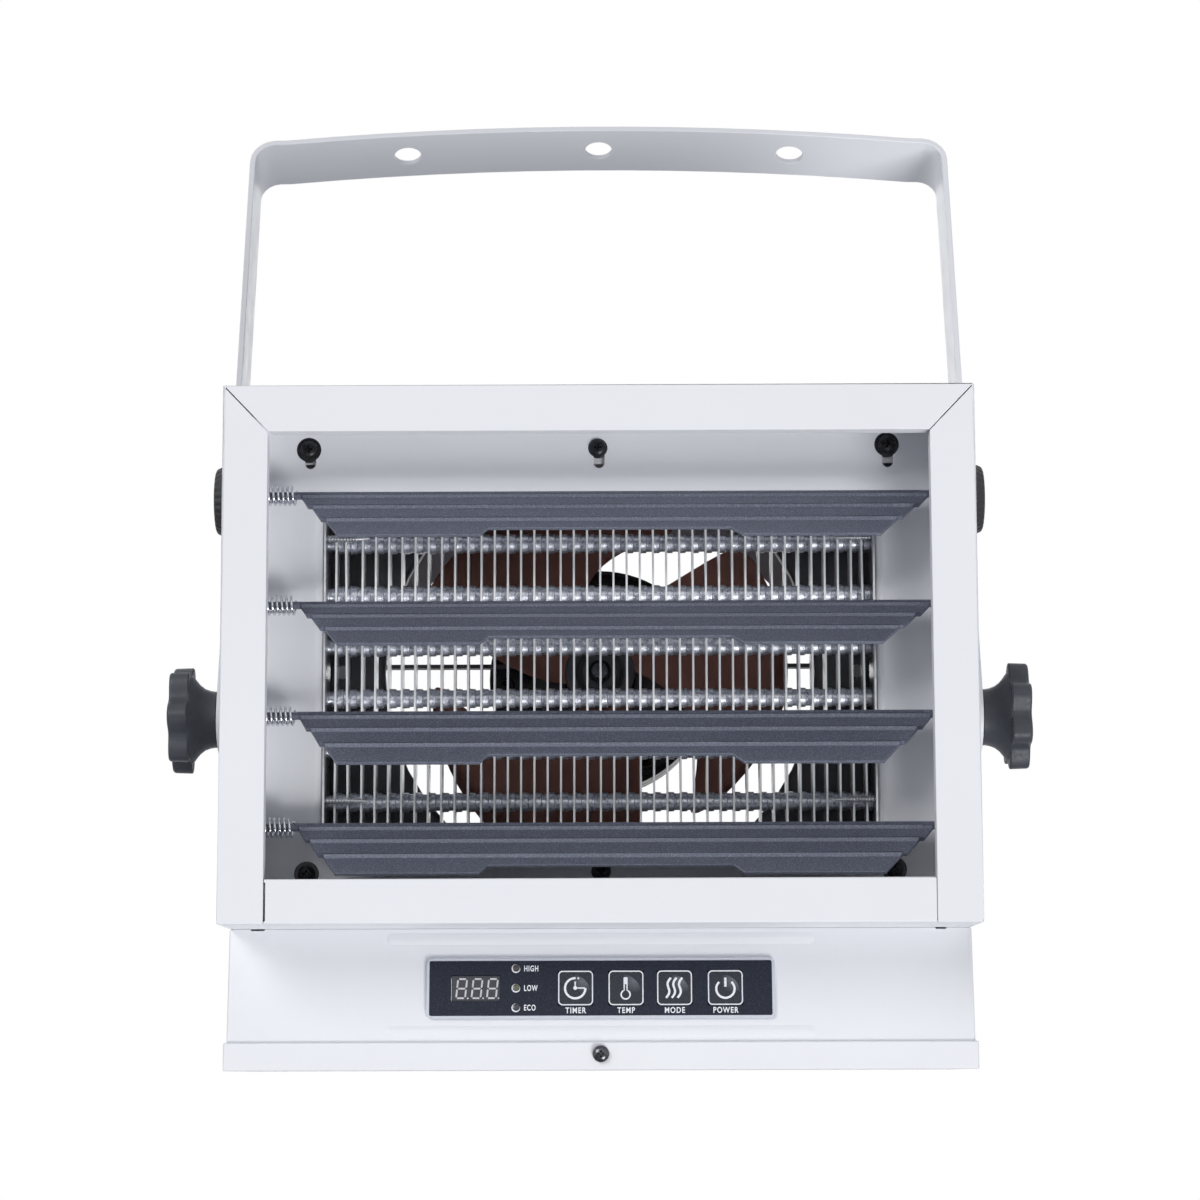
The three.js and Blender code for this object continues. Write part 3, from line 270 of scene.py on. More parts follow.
def turned(name, axis, centre, stations, sides=48):
    """A round solid drawn out along an axis, from stations of (place on the axis, radius)."""
    put_down()
    (start, first), (end, second), *rest = stations
    way = 1 if end > start else -1
    middle = Vector(centre) * MM
    middle += AXES[axis] * ((start + end) / 2 * MM)
    radii = (first, second) if way > 0 else (second, first)
    bpy.ops.mesh.primitive_cone_add(
        vertices=sides, radius1=radii[0] * MM, radius2=radii[1] * MM, depth=abs(end - start) * MM,
        location=middle, rotation=TURNS[axis],
    )
    piece = christen(name)
    pick_faces(piece, lambda at, normal: normal.dot(AXES[axis]) * way > 0.99)
    place, radius = end, second
    for far, wide in rest:
        pull(AXES[axis], far - place)
        bpy.ops.transform.resize(
            value=across(axis, wide / radius),
            center_override=Vector(centre) * MM + AXES[axis] * far * MM,
        )
        place, radius = far, wide
    put_down()
    return piece


def cut_away(piece, *tools):
    """Takes the tools' shapes out of the piece."""
    for tool in tools:
        pick_up(piece)
        modifier = piece.modifiers.new("Cut", "BOOLEAN")
        modifier.operation = "DIFFERENCE"
        modifier.solver = "EXACT"
        modifier.object = tool
        bpy.ops.object.modifier_apply(modifier=modifier.name)
        bpy.data.objects.remove(tool)
    return piece


def modify(piece, kind, **settings):
    """Adds one modifier and applies it."""
    pick_up(piece)
    modifier = piece.modifiers.new(kind.title(), kind)
    for name, value in settings.items():
        setattr(modifier, name, value)
    bpy.ops.object.modifier_apply(modifier=modifier.name)
    return piece


def copied(piece, name, move=(0, 0, 0), turn=None):
    """Another one of the piece, with its own mesh, moved by millimetres and then turned."""
    twin = bpy.data.objects.new(name, piece.data.copy())
    twin.data.name = name
    bpy.context.scene.collection.objects.link(twin)
    twin.data.transform((turn or ROW) @ Matrix.Translation(Vector(move) * MM))
    return twin


def joined(name, *parts):
    """Several shapes as one piece."""
    pick_up(parts[0])
    for part in parts[1:]:
        part.select_set(True)
    bpy.ops.object.join()
    parts[0].name = parts[0].data.name = name
    return parts[0]


def from_frame(node, name, axes):
    """A copy of a CAD node in the axes it was drawn in, with its triangles merged into faces."""
    piece = bpy.data.objects.new(name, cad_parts[node].data.copy())
    piece.data.name = name
    bpy.context.scene.collection.objects.link(piece)
    piece.data.transform(axes.inverted())
    open_all(piece, "VERT")
    bpy.ops.mesh.remove_doubles(threshold=0.002 * MM)
    bpy.ops.mesh.beautify_fill(angle_limit=math.radians(0.4))
    bpy.ops.mesh.tris_convert_to_quads(
        face_threshold=math.radians(0.4), shape_threshold=math.radians(180)
    )
    put_down()
    pick_up(piece)
    bpy.ops.mesh.customdata_custom_splitnormals_clear()
    return piece


def settle(
    piece, paint, slot, nodes=(), rounding=0.0, segments=2, smooth=35, body="housing", axes=HOUSING
):
    """Puts a piece in its place, rounds and smooths it, paints it and ties it to its body."""
    pick_up(piece)
    piece.matrix_world = axes
    bpy.ops.object.transform_apply(location=True, rotation=True, scale=True)
    bpy.ops.object.shade_smooth_by_angle(angle=math.radians(smooth))
    if rounding:
        modify(
            piece, "BEVEL", width=rounding, segments=segments, limit_method="ANGLE",
            angle_limit=math.radians(smooth), use_clamp_overlap=False,
        )
        modify(piece, "WEIGHTED_NORMAL", keep_sharp=True, weight=100)
    piece.data.materials.clear()
    piece.data.materials.append(paint)
    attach(piece, body)
    if nodes:
        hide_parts(*nodes)
    return piece


def repaint(node, paint):
    """Gives a CAD node that stays its finish."""
    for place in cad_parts[node].material_slots:
        place.material = paint


def wound(name, sides, radius, start, pitch, turns, steps):
    """A wire wound round the x axis from a start of (x, y), with its ends capped, in metres."""
    put_down()
    bpy.ops.mesh.primitive_circle_add(
        vertices=sides, radius=radius, fill_type="NOTHING", location=(*start, 0)
    )
    wire = christen(name)
    modify(
        wire, "SCREW", axis="X", angle=2 * math.pi, screw_offset=pitch, iterations=turns,
        steps=steps, render_steps=steps, use_merge_vertices=False,
    )
    open_mesh(wire, "EDGE")
    bpy.ops.mesh.select_non_manifold(extend=False)
    bpy.ops.mesh.fill_holes(sides=0)
    bpy.ops.mesh.select_all(action="SELECT")
    bpy.ops.mesh.normals_make_consistent(inside=False)
    put_down()
    return wire


# ------------------------------------------------------------------ finishes


def add_node(tree, kind, inputs=None, **settings):
    made = tree.nodes.new(kind)
    for name, value in settings.items():
        setattr(made, name, value)
    for name, value in (inputs or {}).items():
        if isinstance(value, bpy.types.NodeSocket):
            tree.links.new(value, made.inputs[name])
        else:
            made.inputs[name].default_value = value
    return made


def place_in(tree, scale=None):
    place = add_node(tree, "ShaderNodeTexCoord").outputs["Object"]
    if scale:
        place = add_node(tree, "ShaderNodeMapping", {"Vector": place, "Scale": scale}).outputs[0]
    return place


def grain(tree, scale, detail=2.0, roughness=0.5, stretch=None):
    """Noise of so many features a metre."""
    inputs = {
        "Vector": place_in(tree, stretch), "Scale": scale, "Detail": detail, "Roughness": roughness,
    }
    return add_node(tree, "ShaderNodeTexNoise", inputs).outputs["Fac"]


def ramp(tree, value, *stops):
    made = add_node(tree, "ShaderNodeValToRGB", {"Fac": value})
    elements = made.color_ramp.elements
    while len(elements) < len(stops):
        elements.new(0.5)
    for element, (place, colour) in zip(elements, stops):
        element.position = place
        element.color = (*colour, 1)
    return made.outputs["Color"]


def spread(tree, value, low, high, from_low=0.3, from_high=0.7):
    inputs = {
        "Value": value, "From Min": from_low, "From Max": from_high, "To Min": low, "To Max": high,
    }
    return add_node(tree, "ShaderNodeMapRange", inputs).outputs["Result"]


def dents(tree, height, depth, strength=1.0, under=None):
    inputs = {"Height": height, "Distance": depth, "Strength": strength}
    if under is not None:
        inputs["Normal"] = under
    return add_node(tree, "ShaderNodeBump", inputs).outputs["Normal"]


def toned(colour, factor):
    return tuple(min(1.0, c * factor) for c in colour)


def finish(name, metallic, build, **sockets):
    """The material of that name, made on its first use. The frame has plain ones of those names."""
    title = f"{name}_finish"
    material = bpy.data.materials.get(title)
    if material:
        return material
    material = bpy.data.materials.new(title)
    material.use_nodes = True
    tree = material.node_tree
    shader = tree.nodes["Principled BSDF"]
    shader.inputs["Metallic"].default_value = metallic
    for socket, value in sockets.items():
        shader.inputs[socket.replace("_", " ")].default_value = value
    parts = build(tree)
    for socket, value in parts.items():
        tree.links.new(value, shader.inputs[socket])
    return material


def grained(name, metallic, tint, rough, bump=None, **sockets):
    """A finish made of grains, described like those in the table."""

    def build(tree):
        scale, detail, dark, light = tint
        parts = {"Base Color": ramp(tree, grain(tree, scale, detail), (0.3, dark), (0.7, light))}
        scale, detail, low, high = rough
        parts["Roughness"] = spread(tree, grain(tree, scale, detail), low, high)
        if bump:
            scale, detail, depth, strength = bump
            parts["Normal"] = dents(tree, grain(tree, scale, detail), depth * MM, strength)
        return parts

    return finish(name, metallic, build, **sockets)


# Metallic, then (features a metre, detail, dark colour, light colour), then (features a metre,
# detail, least and greatest roughness), then the bump's (features a metre, detail, depth in
# millimetres, strength). A number for a colour is a share of the heater's colour of that name.
COATS = {
    # Fine powder coat, a little orange peel in its gloss.
    "white_paint": (0.0, (7, 4, 0.975, 1), (90, 3, 0.36, 0.5), (620, 2, 0.05, 0.5)),
    "blade_copper": (0.35, (16, 4, 0.82, 1.1), (160, 3, 0.42, 0.56), (700, 2, 0.04, 0.3)),
    # Glass filled plastic, with the fine spark-eroded grain of its mould.
    "knob_plastic": (0.0, (70, 4, 0.85, 1.15), (600, 3, 0.4, 0.56), (1500, 2, 0.06, 0.45)),
    "print_white": (0.0, (1200, 2, 0.93, 1), (500, 2, 0.42, 0.54)),
    "trim_silver": (0.15, (900, 2, 0.95, 1.04), (500, 2, 0.3, 0.42)),
    "charcoal_steel": (
        0.3, (24, 4, (0.150, 0.150, 0.168), (0.190, 0.190, 0.210)), (220, 3, 0.45, 0.6),
        (650, 2, 0.05, 0.4),
    ),
    "black_steel": (
        0.5, (260, 3, (0.016, 0.016, 0.019), (0.027, 0.027, 0.031)), (400, 3, 0.26, 0.42),
        (900, 2, 0.03, 0.3),
    ),
    "dark_chrome": (
        1.0, (500, 3, (0.075, 0.075, 0.085), (0.13, 0.13, 0.145)), (900, 3, 0.2, 0.36)
    ),
    "spring_chrome": (
        1.0, (700, 2, (0.62, 0.63, 0.67), (0.80, 0.81, 0.85)), (500, 3, 0.07, 0.16)
    ),
    "display_film": (
        0.0, (900, 2, (0.040, 0.042, 0.050), (0.056, 0.058, 0.068)), (300, 2, 0.2, 0.3)
    ),
    "digit_print": (0.0, (800, 2, (0.56, 0.57, 0.61), (0.70, 0.71, 0.75)), (400, 2, 0.4, 0.5)),
    "black_plastic": (
        0.0, (60, 4, (0.014, 0.014, 0.016), (0.022, 0.022, 0.025)), (500, 3, 0.42, 0.58),
        (1300, 2, 0.05, 0.4),
    ),
    "cable_rubber": (
        0.0, (50, 4, (0.012, 0.012, 0.013), (0.020, 0.020, 0.021)), (400, 3, 0.5, 0.66),
        (900, 2, 0.05, 0.4),
    ),
    "beige_plastic": (
        0.0, (80, 3, (0.62, 0.57, 0.44), (0.70, 0.65, 0.52)), (400, 3, 0.42, 0.55),
        (1000, 2, 0.04, 0.3),
    ),
}


def coat(name):
    """The finish of that name in the table."""
    metallic, (scale, detail, *shades), *rest = COATS[name]
    base = getattr(colours(), name, None)
    shades = [shade if isinstance(shade, tuple) else toned(base, shade) for shade in shades]
    return grained(name, metallic, (scale, detail, *shades), *rest)


def louver_paint():
    """Wrinkle paint: dark blue grey, with a sandy grain whose bumps catch the light; its lightest
    grains are painted glints.
    """

    def build(tree):
        base = colours().louver_paint
        sand_and_painted_glints = grain(tree, 1500, 3.0, 0.6)
        inputs = {"Vector": place_in(tree), "Scale": 760}
        lumps = add_node(tree, "ShaderNodeTexVoronoi", inputs, feature="SMOOTH_F1").outputs[0]
        return {
            # The sand's lightest grains, at 1.7 times the paint, are painted glints; its darker
            # grains are random tone.
            "Base Color": ramp(
                tree, sand_and_painted_glints, (0.36, toned(base, 0.72)), (0.54, base), (0.7, toned(base, 1.7))
            ),
            "Roughness": spread(tree, sand_and_painted_glints, 0.34, 0.5),
            "Normal": dents(tree, lumps, 0.07 * MM, 0.4, dents(tree, sand_and_painted_glints, 0.07 * MM, 0.4)),
        }

    return finish("louver_paint", 0.3, build)


def fin_aluminium():
    """Bright rolled sheet with fine lines along each fin."""

    def build(tree):
        lines = grain(tree, 1.0, 3.0, 0.6, stretch=(900, 900, 40))
        mottle = grain(tree, 120, 3.0)
        return {
            "Base Color": ramp(tree, mottle, (0.3, (0.93, 0.94, 0.96)), (0.7, (0.99, 1.0, 1.0))),
            "Roughness": spread(tree, lines, 0.28, 0.44),
            "Normal": dents(tree, lines, 0.02 * MM, 0.3),
        }

    return finish("fin_aluminium", 0.12, build)


def collar_aluminium():
    """The collars and tubes: the same sheet with dark smears of flux and rough, blistered spots."""

    def build(tree):
        blotches = grain(tree, 700, 4.0, 0.7)
        rings = grain(tree, 1.0, 2.0, 0.5, stretch=(1300, 60, 60))
        return {
            "Base Color": ramp(
                tree, blotches, (0.33, (0.27, 0.28, 0.32)), (0.46, (0.58, 0.60, 0.67)),
                (0.64, (0.84, 0.87, 0.95)),
            ),
            "Roughness": spread(tree, blotches, 0.5, 0.3),
            "Normal": dents(tree, blotches, 0.08 * MM, 0.4, dents(tree, rings, 0.12 * MM, 0.5)),
        }

    return finish("collar_aluminium", 0.9, build)


def galvanised_steel():
    """Zinc with its faint spangle."""

    def build(tree):
        inputs = {"Vector": place_in(tree), "Scale": 240}
        spangle = add_node(tree, "ShaderNodeTexVoronoi", inputs).outputs["Distance"]
        return {
            "Base Color": ramp(tree, spangle, (0.0, (0.50, 0.51, 0.53)), (0.8, (0.66, 0.67, 0.70))),
            "Roughness": spread(tree, grain(tree, 300, 3.0), 0.26, 0.42),
            "Normal": dents(tree, grain(tree, 500), 0.03 * MM, 0.3),
        }

    return finish("galvanised_steel", 0.9, build)


def panel_film():
    """Black film with a fine metallic fleck under a satin face."""

    def build(tree):
        base = colours().panel_black
        fleck = grain(tree, 1500, 2.0, 0.7)
        return {
            "Base Color": ramp(
                tree, fleck, (0.42, toned(base, 0.8)), (0.58, toned(base, 1.25)),
                (0.72, toned(base, 2.6)),
            ),
            "Roughness": spread(tree, fleck, 0.3, 0.42),
            "Normal": dents(tree, fleck, 0.02 * MM, 0.3),
        }

    return finish("panel_film", 0.0, build, Specular_IOR_Level=0.25)


def key_film():
    """The film on a key, a flat face, with a painted reflection: a disc in its colour that lightens
    towards its upper right, standing in for the shine of a glossy swell.
    """

    def build(tree):
        spot = add_node(tree, "ShaderNodeUVMap", uv_map="key_face").outputs["UV"]

        def distance_from(place):
            made = add_node(
                tree, "ShaderNodeVectorMath", {0: spot, 1: place}, operation="DISTANCE"
            )
            return made.outputs["Value"]

        # A painted reflection: a disc, lighter towards its upper right, mixed into the film's
        # colour.
        inside = spread(tree, distance_from((0.40, 0.36, 0.0)), 1.0, 0.0, 0.515, 0.53)
        glow = spread(tree, distance_from((0.74, 0.72, 0.0)), 1.0, 0.0, 0.05, 0.36)
        inputs = {0: inside, 1: glow}
        painted_shine = add_node(tree, "ShaderNodeMath", inputs, operation="MULTIPLY").outputs[0]
        dark = toned(colours().panel_black, 0.9)
        return {
            "Base Color": ramp(tree, painted_shine, (0.0, dark), (1.0, (0.125, 0.135, 0.165))),
            "Roughness": spread(tree, grain(tree, 400, 2.0), 0.22, 0.32),
        }

    return finish("key_film", 0.0, build)


def lamp_lens(name, colour):
    return grained(
        name, 0.0, (900, 2, toned(colour, 0.9), toned(colour, 1.1)), (500, 2, 0.12, 0.2),
        Coat_Weight=0.5,
    )


def board_green():
    def build(tree):
        inputs = {
            "Vector": place_in(tree), "Scale": 300.0, "Mortar Size": 0.03,
            "Mortar": (0.05, 0.19, 0.09, 1),
            "Color1": (0.010, 0.070, 0.032, 1), "Color2": (0.014, 0.088, 0.040, 1),
        }
        tracks = add_node(tree, "ShaderNodeTexBrick", inputs).outputs["Color"]
        return {"Base Color": tracks, "Roughness": spread(tree, grain(tree, 300, 2.0), 0.3, 0.42)}

    return finish("board_green", 0.0, build)


# ------------------------------------------------------------------ pieces


def near(value, *places, within=0.03):
    return any(abs(value - place) < within for place in places)


class HEATER_OT_bracket(bpy.types.Operator):
    """Mounting bracket: the painted steel strap, with its cut edges rounded"""

    bl_idname = "heater.bracket"
    bl_label = "Mounting Bracket"

    def execute(self, context):
        strap = from_frame("mounting_bracket", "strap", ROW)
        settle(
            strap, coat("white_paint"), "white_paint", ["mounting_bracket"], 0.45 * MM, segments=3,
            body="bracket", axes=ROW,
        )
        for name, _ in SIDES:
            repaint(f"lock_nut_{name}", galvanised_steel())
        return {"FINISHED"}


class HEATER_OT_casing(bpy.types.Operator):
    """Casing: the folded wrap, the bottom pan and the back panel"""

    bl_idname = "heater.casing"
    bl_label = "Casing"

    def execute(self, context):
        fold, edge = sizes().fold_radius, sizes().edge_radius
        wrap = from_frame("housing_wrap", "casing_wrap", HOUSING)
        round_edges(wrap, lambda p: near(abs(p.x), HALF_WIDTH) and near(p.y, FRONT), fold, 4)
        round_edges(wrap, lambda p: near(p.z, TOP) and near(p.y, FRONT), fold, 4)
        round_edges(wrap, lambda p: near(p.z, TOP) and near(abs(p.x), HALF_WIDTH), fold, 4)
        settle(wrap, coat("white_paint"), "white_paint", ["housing_wrap"], edge)

        pan = from_frame("bottom_pan", "bottom_pan_sheet", HOUSING)
        cut_away(pan, block("seam", (-162, -58, -102.5), (-160.0, -52, -84)))
        round_edges(
            pan, lambda p: near(p.y, FRONT) and near(p.z, BOTTOM) and abs(p.x) < 162, fold, 4
        )
        round_edges(pan, lambda p: near(p.y, FRONT) and near(p.z, -82.5), fold * 0.7, 3)
        settle(pan, coat("white_paint"), "white_paint", ["bottom_pan"], edge)

        back = from_frame("back_panel", "back_sheet", HOUSING)
        settle(back, coat("white_paint"), "white_paint", ["back_panel"], edge)
        return {"FINISHED"}


def screw_head(name, axis_at, seat, radius, height):
    """A pan head with a cross recess, its axis along -y, on a seat."""
    x, z = axis_at
    head = turned(
        name, "y", (x, 0, z),
        [(seat, radius), (seat - height * 0.35, radius), (seat - height * 0.7, radius * 0.86),
         (seat - height * 0.92, radius * 0.6), (seat - height, radius * 0.25)], 40,
    )
    front, back = seat - height - 1, seat - height * 0.35
    arm, width = radius * 0.52, radius * 0.14
    upright = block("bit_upright", (x - width, front, z - arm), (x + width, back, z + arm))
    level = block("bit_level", (x - arm, front, z - width), (x + arm, back, z + width))
    for bit in (upright, level):
        pick_faces(bit, lambda at, normal: normal.y > 0.9)
        bpy.ops.transform.resize(value=(0.45, 1, 0.45))
        put_down()
    return cut_away(head, upright, level)


PANEL_FACE, WING_X = -10, 168.6
WINDOW_X, WINDOW_LOW, WINDOW_HIGH, WINDOW_ROLL = 138, -56, 104, 4
# The screws sit at slightly different heights in their slots.
PANEL_SCREWS = (
    (-144.8, 134.1), (-0.6, 134.6), (143.6, 135.9), (-144.2, -77.4), (0.4, -76.6), (144.4, -76),
)


def by_window(p):
    return near(abs(p.x), WINDOW_X) and WINDOW_LOW - 0.1 < p.z < WINDOW_HIGH + 0.1


class HEATER_OT_reflector(bpy.types.Operator):
    """Reflector panel with its window, its wings and its six screws"""

    bl_idname = "heater.reflector"
    bl_label = "Reflector Panel"

    def execute(self, context):
        put_down()
        bpy.ops.mesh.primitive_plane_add(
            size=1, rotation=(math.pi / 2, 0, 0), location=(0, PANEL_FACE * MM, 27.5 * MM)
        )
        context.object.scale = (2 * WING_X * MM, 255 * MM, 1)
        sheet = christen("reflector_sheet")
        for spot, way in (
            ((-WINDOW_X, 0, 0), AXES["x"]), ((WINDOW_X, 0, 0), AXES["x"]),
            ((0, 0, WINDOW_LOW), AXES["z"]), ((0, 0, WINDOW_HIGH), AXES["z"]),
        ):
            open_all(sheet, "FACE")
            bpy.ops.mesh.bisect(plane_co=Vector(spot) * MM, plane_no=way)
        pick_faces(sheet, lambda at, normal: abs(at.x) < 5 and WINDOW_LOW < at.z < WINDOW_HIGH)
        bpy.ops.mesh.delete(type="FACE")
        pick_edges(sheet, by_window)
        pull((0, 1, 0), -PANEL_FACE)
        pick_edges(sheet, lambda p: near(abs(p.x), WING_X))
        pull((0, -1, 0), 40)
        round_edges(sheet, lambda p: by_window(p) and near(p.y, PANEL_FACE), WINDOW_ROLL * MM, 8)
        round_edges(sheet, lambda p: near(abs(p.x), WING_X) and near(p.y, PANEL_FACE), 2 * MM, 5)
        open_all(sheet, "FACE")
        bpy.ops.mesh.normals_make_consistent(inside=False)
        put_down()
        modify(sheet, "SOLIDIFY", thickness=1.2 * MM, offset=-1)
        holes = []
        for z in (135.7, -76):
            for x in (-144, 0, 144):
                upper = turned("hole", "y", (x, 0, z), [(-14, 2.6), (-5, 2.6)], 24)
                lower = turned("hole", "y", (x, 0, z - 8.6), [(-14, 2.6), (-5, 2.6)], 24)
                middle = block("hole", (x - 2.6, -14, z - 8.6), (x + 2.6, -5, z))
                holes += [upper, lower, middle]
        for z in LOUVER_ROWS:
            holes.append(turned("hole", "x", (0, LOUVER_Y, z), [(-175, 2.3), (175, 2.3)], 20))
        cut_away(sheet, *holes)
        settle(
            sheet, coat("white_paint"), "white_paint", ["reflector_panel"], sizes().edge_radius,
            smooth=30,
        )

        for number, (x, z) in enumerate(PANEL_SCREWS, 1):
            wide = 5.2 if abs(x) < 10 else 6.5
            washer = turned(
                "washer", "y", (x, 0, z),
                [(-10.3, wide), (-10.9, wide), (-11.3, wide - 0.5), (-11.3, 3.4)], 40,
            )
            head = screw_head("head", (x, z), -11.2, 4.3, 2.6)
            shank = turned("shank", "y", (x, 0, z), [(-11, 1.9), (0.4, 1.9), (1, 1.3)], 16)
            screw = joined(f"panel_fixing_{number}", washer, head, shank)
            settle(
                screw, coat("black_steel"), "black_steel", [f"panel_screw_{number}"], 0.12 * MM,
                smooth=30,
            )
        return {"FINISHED"}


class HEATER_OT_louvers(bpy.types.Operator):
    """The four ridged louvers and the springs that hold them"""

    bl_idname = "heater.louvers"
    bl_label = "Louvers And Springs"

    def execute(self, context):
        for i, axes in enumerate(LOUVERS):
            blade = from_frame(f"louver_{i + 1}", f"louver_blade_{i + 1}", axes)
            round_edges(blade, lambda p: near(p.z, 2.0) and -30 < p.y < 0, 0.35 * MM, 3)
            settle(
                blade, louver_paint(), "louver_paint", [f"louver_{i + 1}"], 0.28 * MM, smooth=28,
                body=f"louver_{i + 1}", axes=axes,
            )

        wire, curls = sizes().spring_wire, sizes().spring_curls
        radius, start, end = 4.45 * MM, -167.0 * MM, -149.15 * MM
        pitch = (end - start - wire) / curls
        coil = wound("coil", 12, wire / 2, (start + wire / 2, radius), pitch, curls, 32)
        for i, axes in enumerate(LOUVERS):
            spring = copied(coil, f"spring_{i + 1}")
            settle(
                spring, coat("spring_chrome"), "spring_wire", [f"louver_spring_{i + 1}"], smooth=60,
                body=f"louver_{i + 1}", axes=axes,
            )
        bpy.data.objects.remove(coil)
        return {"FINISHED"}


BEND_X, TUBE_END = -138.5, 146
FIN_X, FIN_FRONT, HEM_BACK, FIN_HALF = (-131.4, 132.2), -3.3, -2.1, 0.22


class HEATER_OT_element(bpy.types.Operator):
    """Heating element: hairpin tubes, collared plate fins, end plates and long pointed screws"""

    bl_idname = "heater.element"
    bl_label = "Heating Element"

    def execute(self, context):
        first, last = FIN_X
        pitch = (last - first) / (sizes().fin_count - 1)
        hem = sizes().fin_hem / MM / 2
        fin = block("fin", (first - FIN_HALF, FIN_FRONT, -54), (first + FIN_HALF, 18.5, 102))
        open_all(fin, "FACE")
        bpy.ops.mesh.bisect(plane_co=(0, HEM_BACK * MM, 0), plane_no=AXES["y"])
        for side in (-1, 1):
            pick_faces(fin, lambda at, normal: normal.x * side > 0.9 and at.y < HEM_BACK)
            pull((side, 0, 0), hem - FIN_HALF)
        round_edges(
            fin, lambda p: near(p.y, FIN_FRONT) and near(abs(p.x - first), hem), 0.3 * MM, 2
        )
        put_down()
        collars = []
        wide = sizes().collar_radius / MM
        for z in TUBE_ROWS:
            collars.append(turned(
                "collar", "x", (0, TUBE_Y, z),
                [(first + 0.2, wide + 0.5), (first + 0.6, wide), (first + pitch * 0.5, wide - 0.1),
                 (first + pitch * 0.56, wide - 0.7), (first + pitch - 0.3, wide - 0.75)], 18,
            ))
        sleeves = joined("element_collars", *collars)
        for piece in (fin, sleeves):
            modify(
                piece, "ARRAY", count=sizes().fin_count, use_relative_offset=False,
                use_constant_offset=True, constant_offset_displace=(pitch * MM, 0, 0),
            )
        for number, lean in ((1, 2.0), (sizes().fin_count - 1, 1.4)):
            middle = first + pitch * number
            pick_points(fin, lambda p: abs(p.x - middle) < 1 and p.z > 100)
            bpy.ops.transform.translate(value=(-lean * MM, 0, 0))
            put_down()
        fin.name = fin.data.name = "element_fins"
        settle(fin, fin_aluminium(), "galvanised_steel", ["heating_element"], smooth=30)
        settle(sleeves, collar_aluminium(), "galvanised_steel", smooth=40)

        hairpins = []
        for top in TUBE_ROWS[::2]:
            put_down()
            bpy.ops.mesh.primitive_circle_add(
                vertices=24, radius=3.9 * MM, fill_type="NOTHING",
                location=(TUBE_END * MM, TUBE_Y * MM, top * MM), rotation=TURNS["x"],
            )
            pin = christen("hairpin")
            open_all(pin, "EDGE")
            pull((1, 0, 0), BEND_X - TUBE_END)
            bpy.ops.mesh.spin(
                steps=14, angle=math.pi, axis=AXES["y"],
                center=(BEND_X * MM, TUBE_Y * MM, (top - 13) * MM),
            )
            pull((1, 0, 0), TUBE_END - BEND_X)
            bpy.ops.mesh.select_all(action="SELECT")
            bpy.ops.mesh.remove_doubles(threshold=0.01 * MM)
            bpy.ops.mesh.fill_holes(sides=0)
            bpy.ops.mesh.normals_make_consistent(inside=False)
            put_down()
            hairpins.append(pin)
        tubes = joined("element_tubes", *hairpins)
        settle(tubes, collar_aluminium(), "galvanised_steel", smooth=50)

        number = 1
        for name, side in SIDES:
            plate = from_frame(f"element_plate_{name}", f"element_end_{name}", HOUSING)
            settle(
                plate, galvanised_steel(), "galvanised_steel", [f"element_plate_{name}"], 0.2 * MM
            )
            for z in (90, -41):
                head = turned(
                    "head", "x", (0, -5.4, z),
                    [(side * 139.5, 3.1), (side * 141.1, 3.1), (side * 141.8, 2.2)], 24,
                )
                core = turned(
                    "core", "x", (0, -5.4, z),
                    [(side * 140, 1.45), (side * 121, 1.45), (side * 114.8, 0.15)], 18,
                )
                start = (side * 121 * MM, 1.5 * MM)
                thread = wound("thread", 3, 0.62 * MM, start, side * 1.5 * MM, 12, 16)
                thread.data.transform(Matrix.Translation((0, -5.4 * MM, z * MM)))
                screw = joined(f"element_fixing_{number}", head, core, thread)
                settle(
                    screw, galvanised_steel(), "galvanised_steel", [f"element_screw_{number}"],
                    smooth=40,
                )
                number += 1
        return {"FINISHED"}


# A blade seen from the front: radius, the angles of its leading and trailing edges in degrees, and
# half of how far the trailing edge stands forward of the leading one.
BLADE_STATIONS = [
    (14, 128, 204, 0.8), (20, 120, 196, 1.4), (32, 110, 187, 4), (46, 99.7, 177, 7),
    (62, 86.3, 170, 10), (78, 67.2, 166, 12), (85, 61, 164.5, 12.4), (89, 68, 163.6, 12.6),
    (93, 91, 162, 12.8), (97, 112, 157, 12.8),
]
BLADE_Y, BLADE_COUNT = 48, 3


def round_fan_axis(piece, count):
    """Copies of the piece, evenly spaced round the fan's axis, instead of the piece itself."""
    turns = [Matrix.Rotation(2 * math.pi * i / count, 4, "Y") for i in range(count)]
    hub = Matrix.Translation((0, 0, FAN_Z * MM))
    copies = [copied(piece, f"{piece.name}_copy", turn=hub @ turn) for turn in turns]
    bpy.data.objects.remove(piece)
    return copies


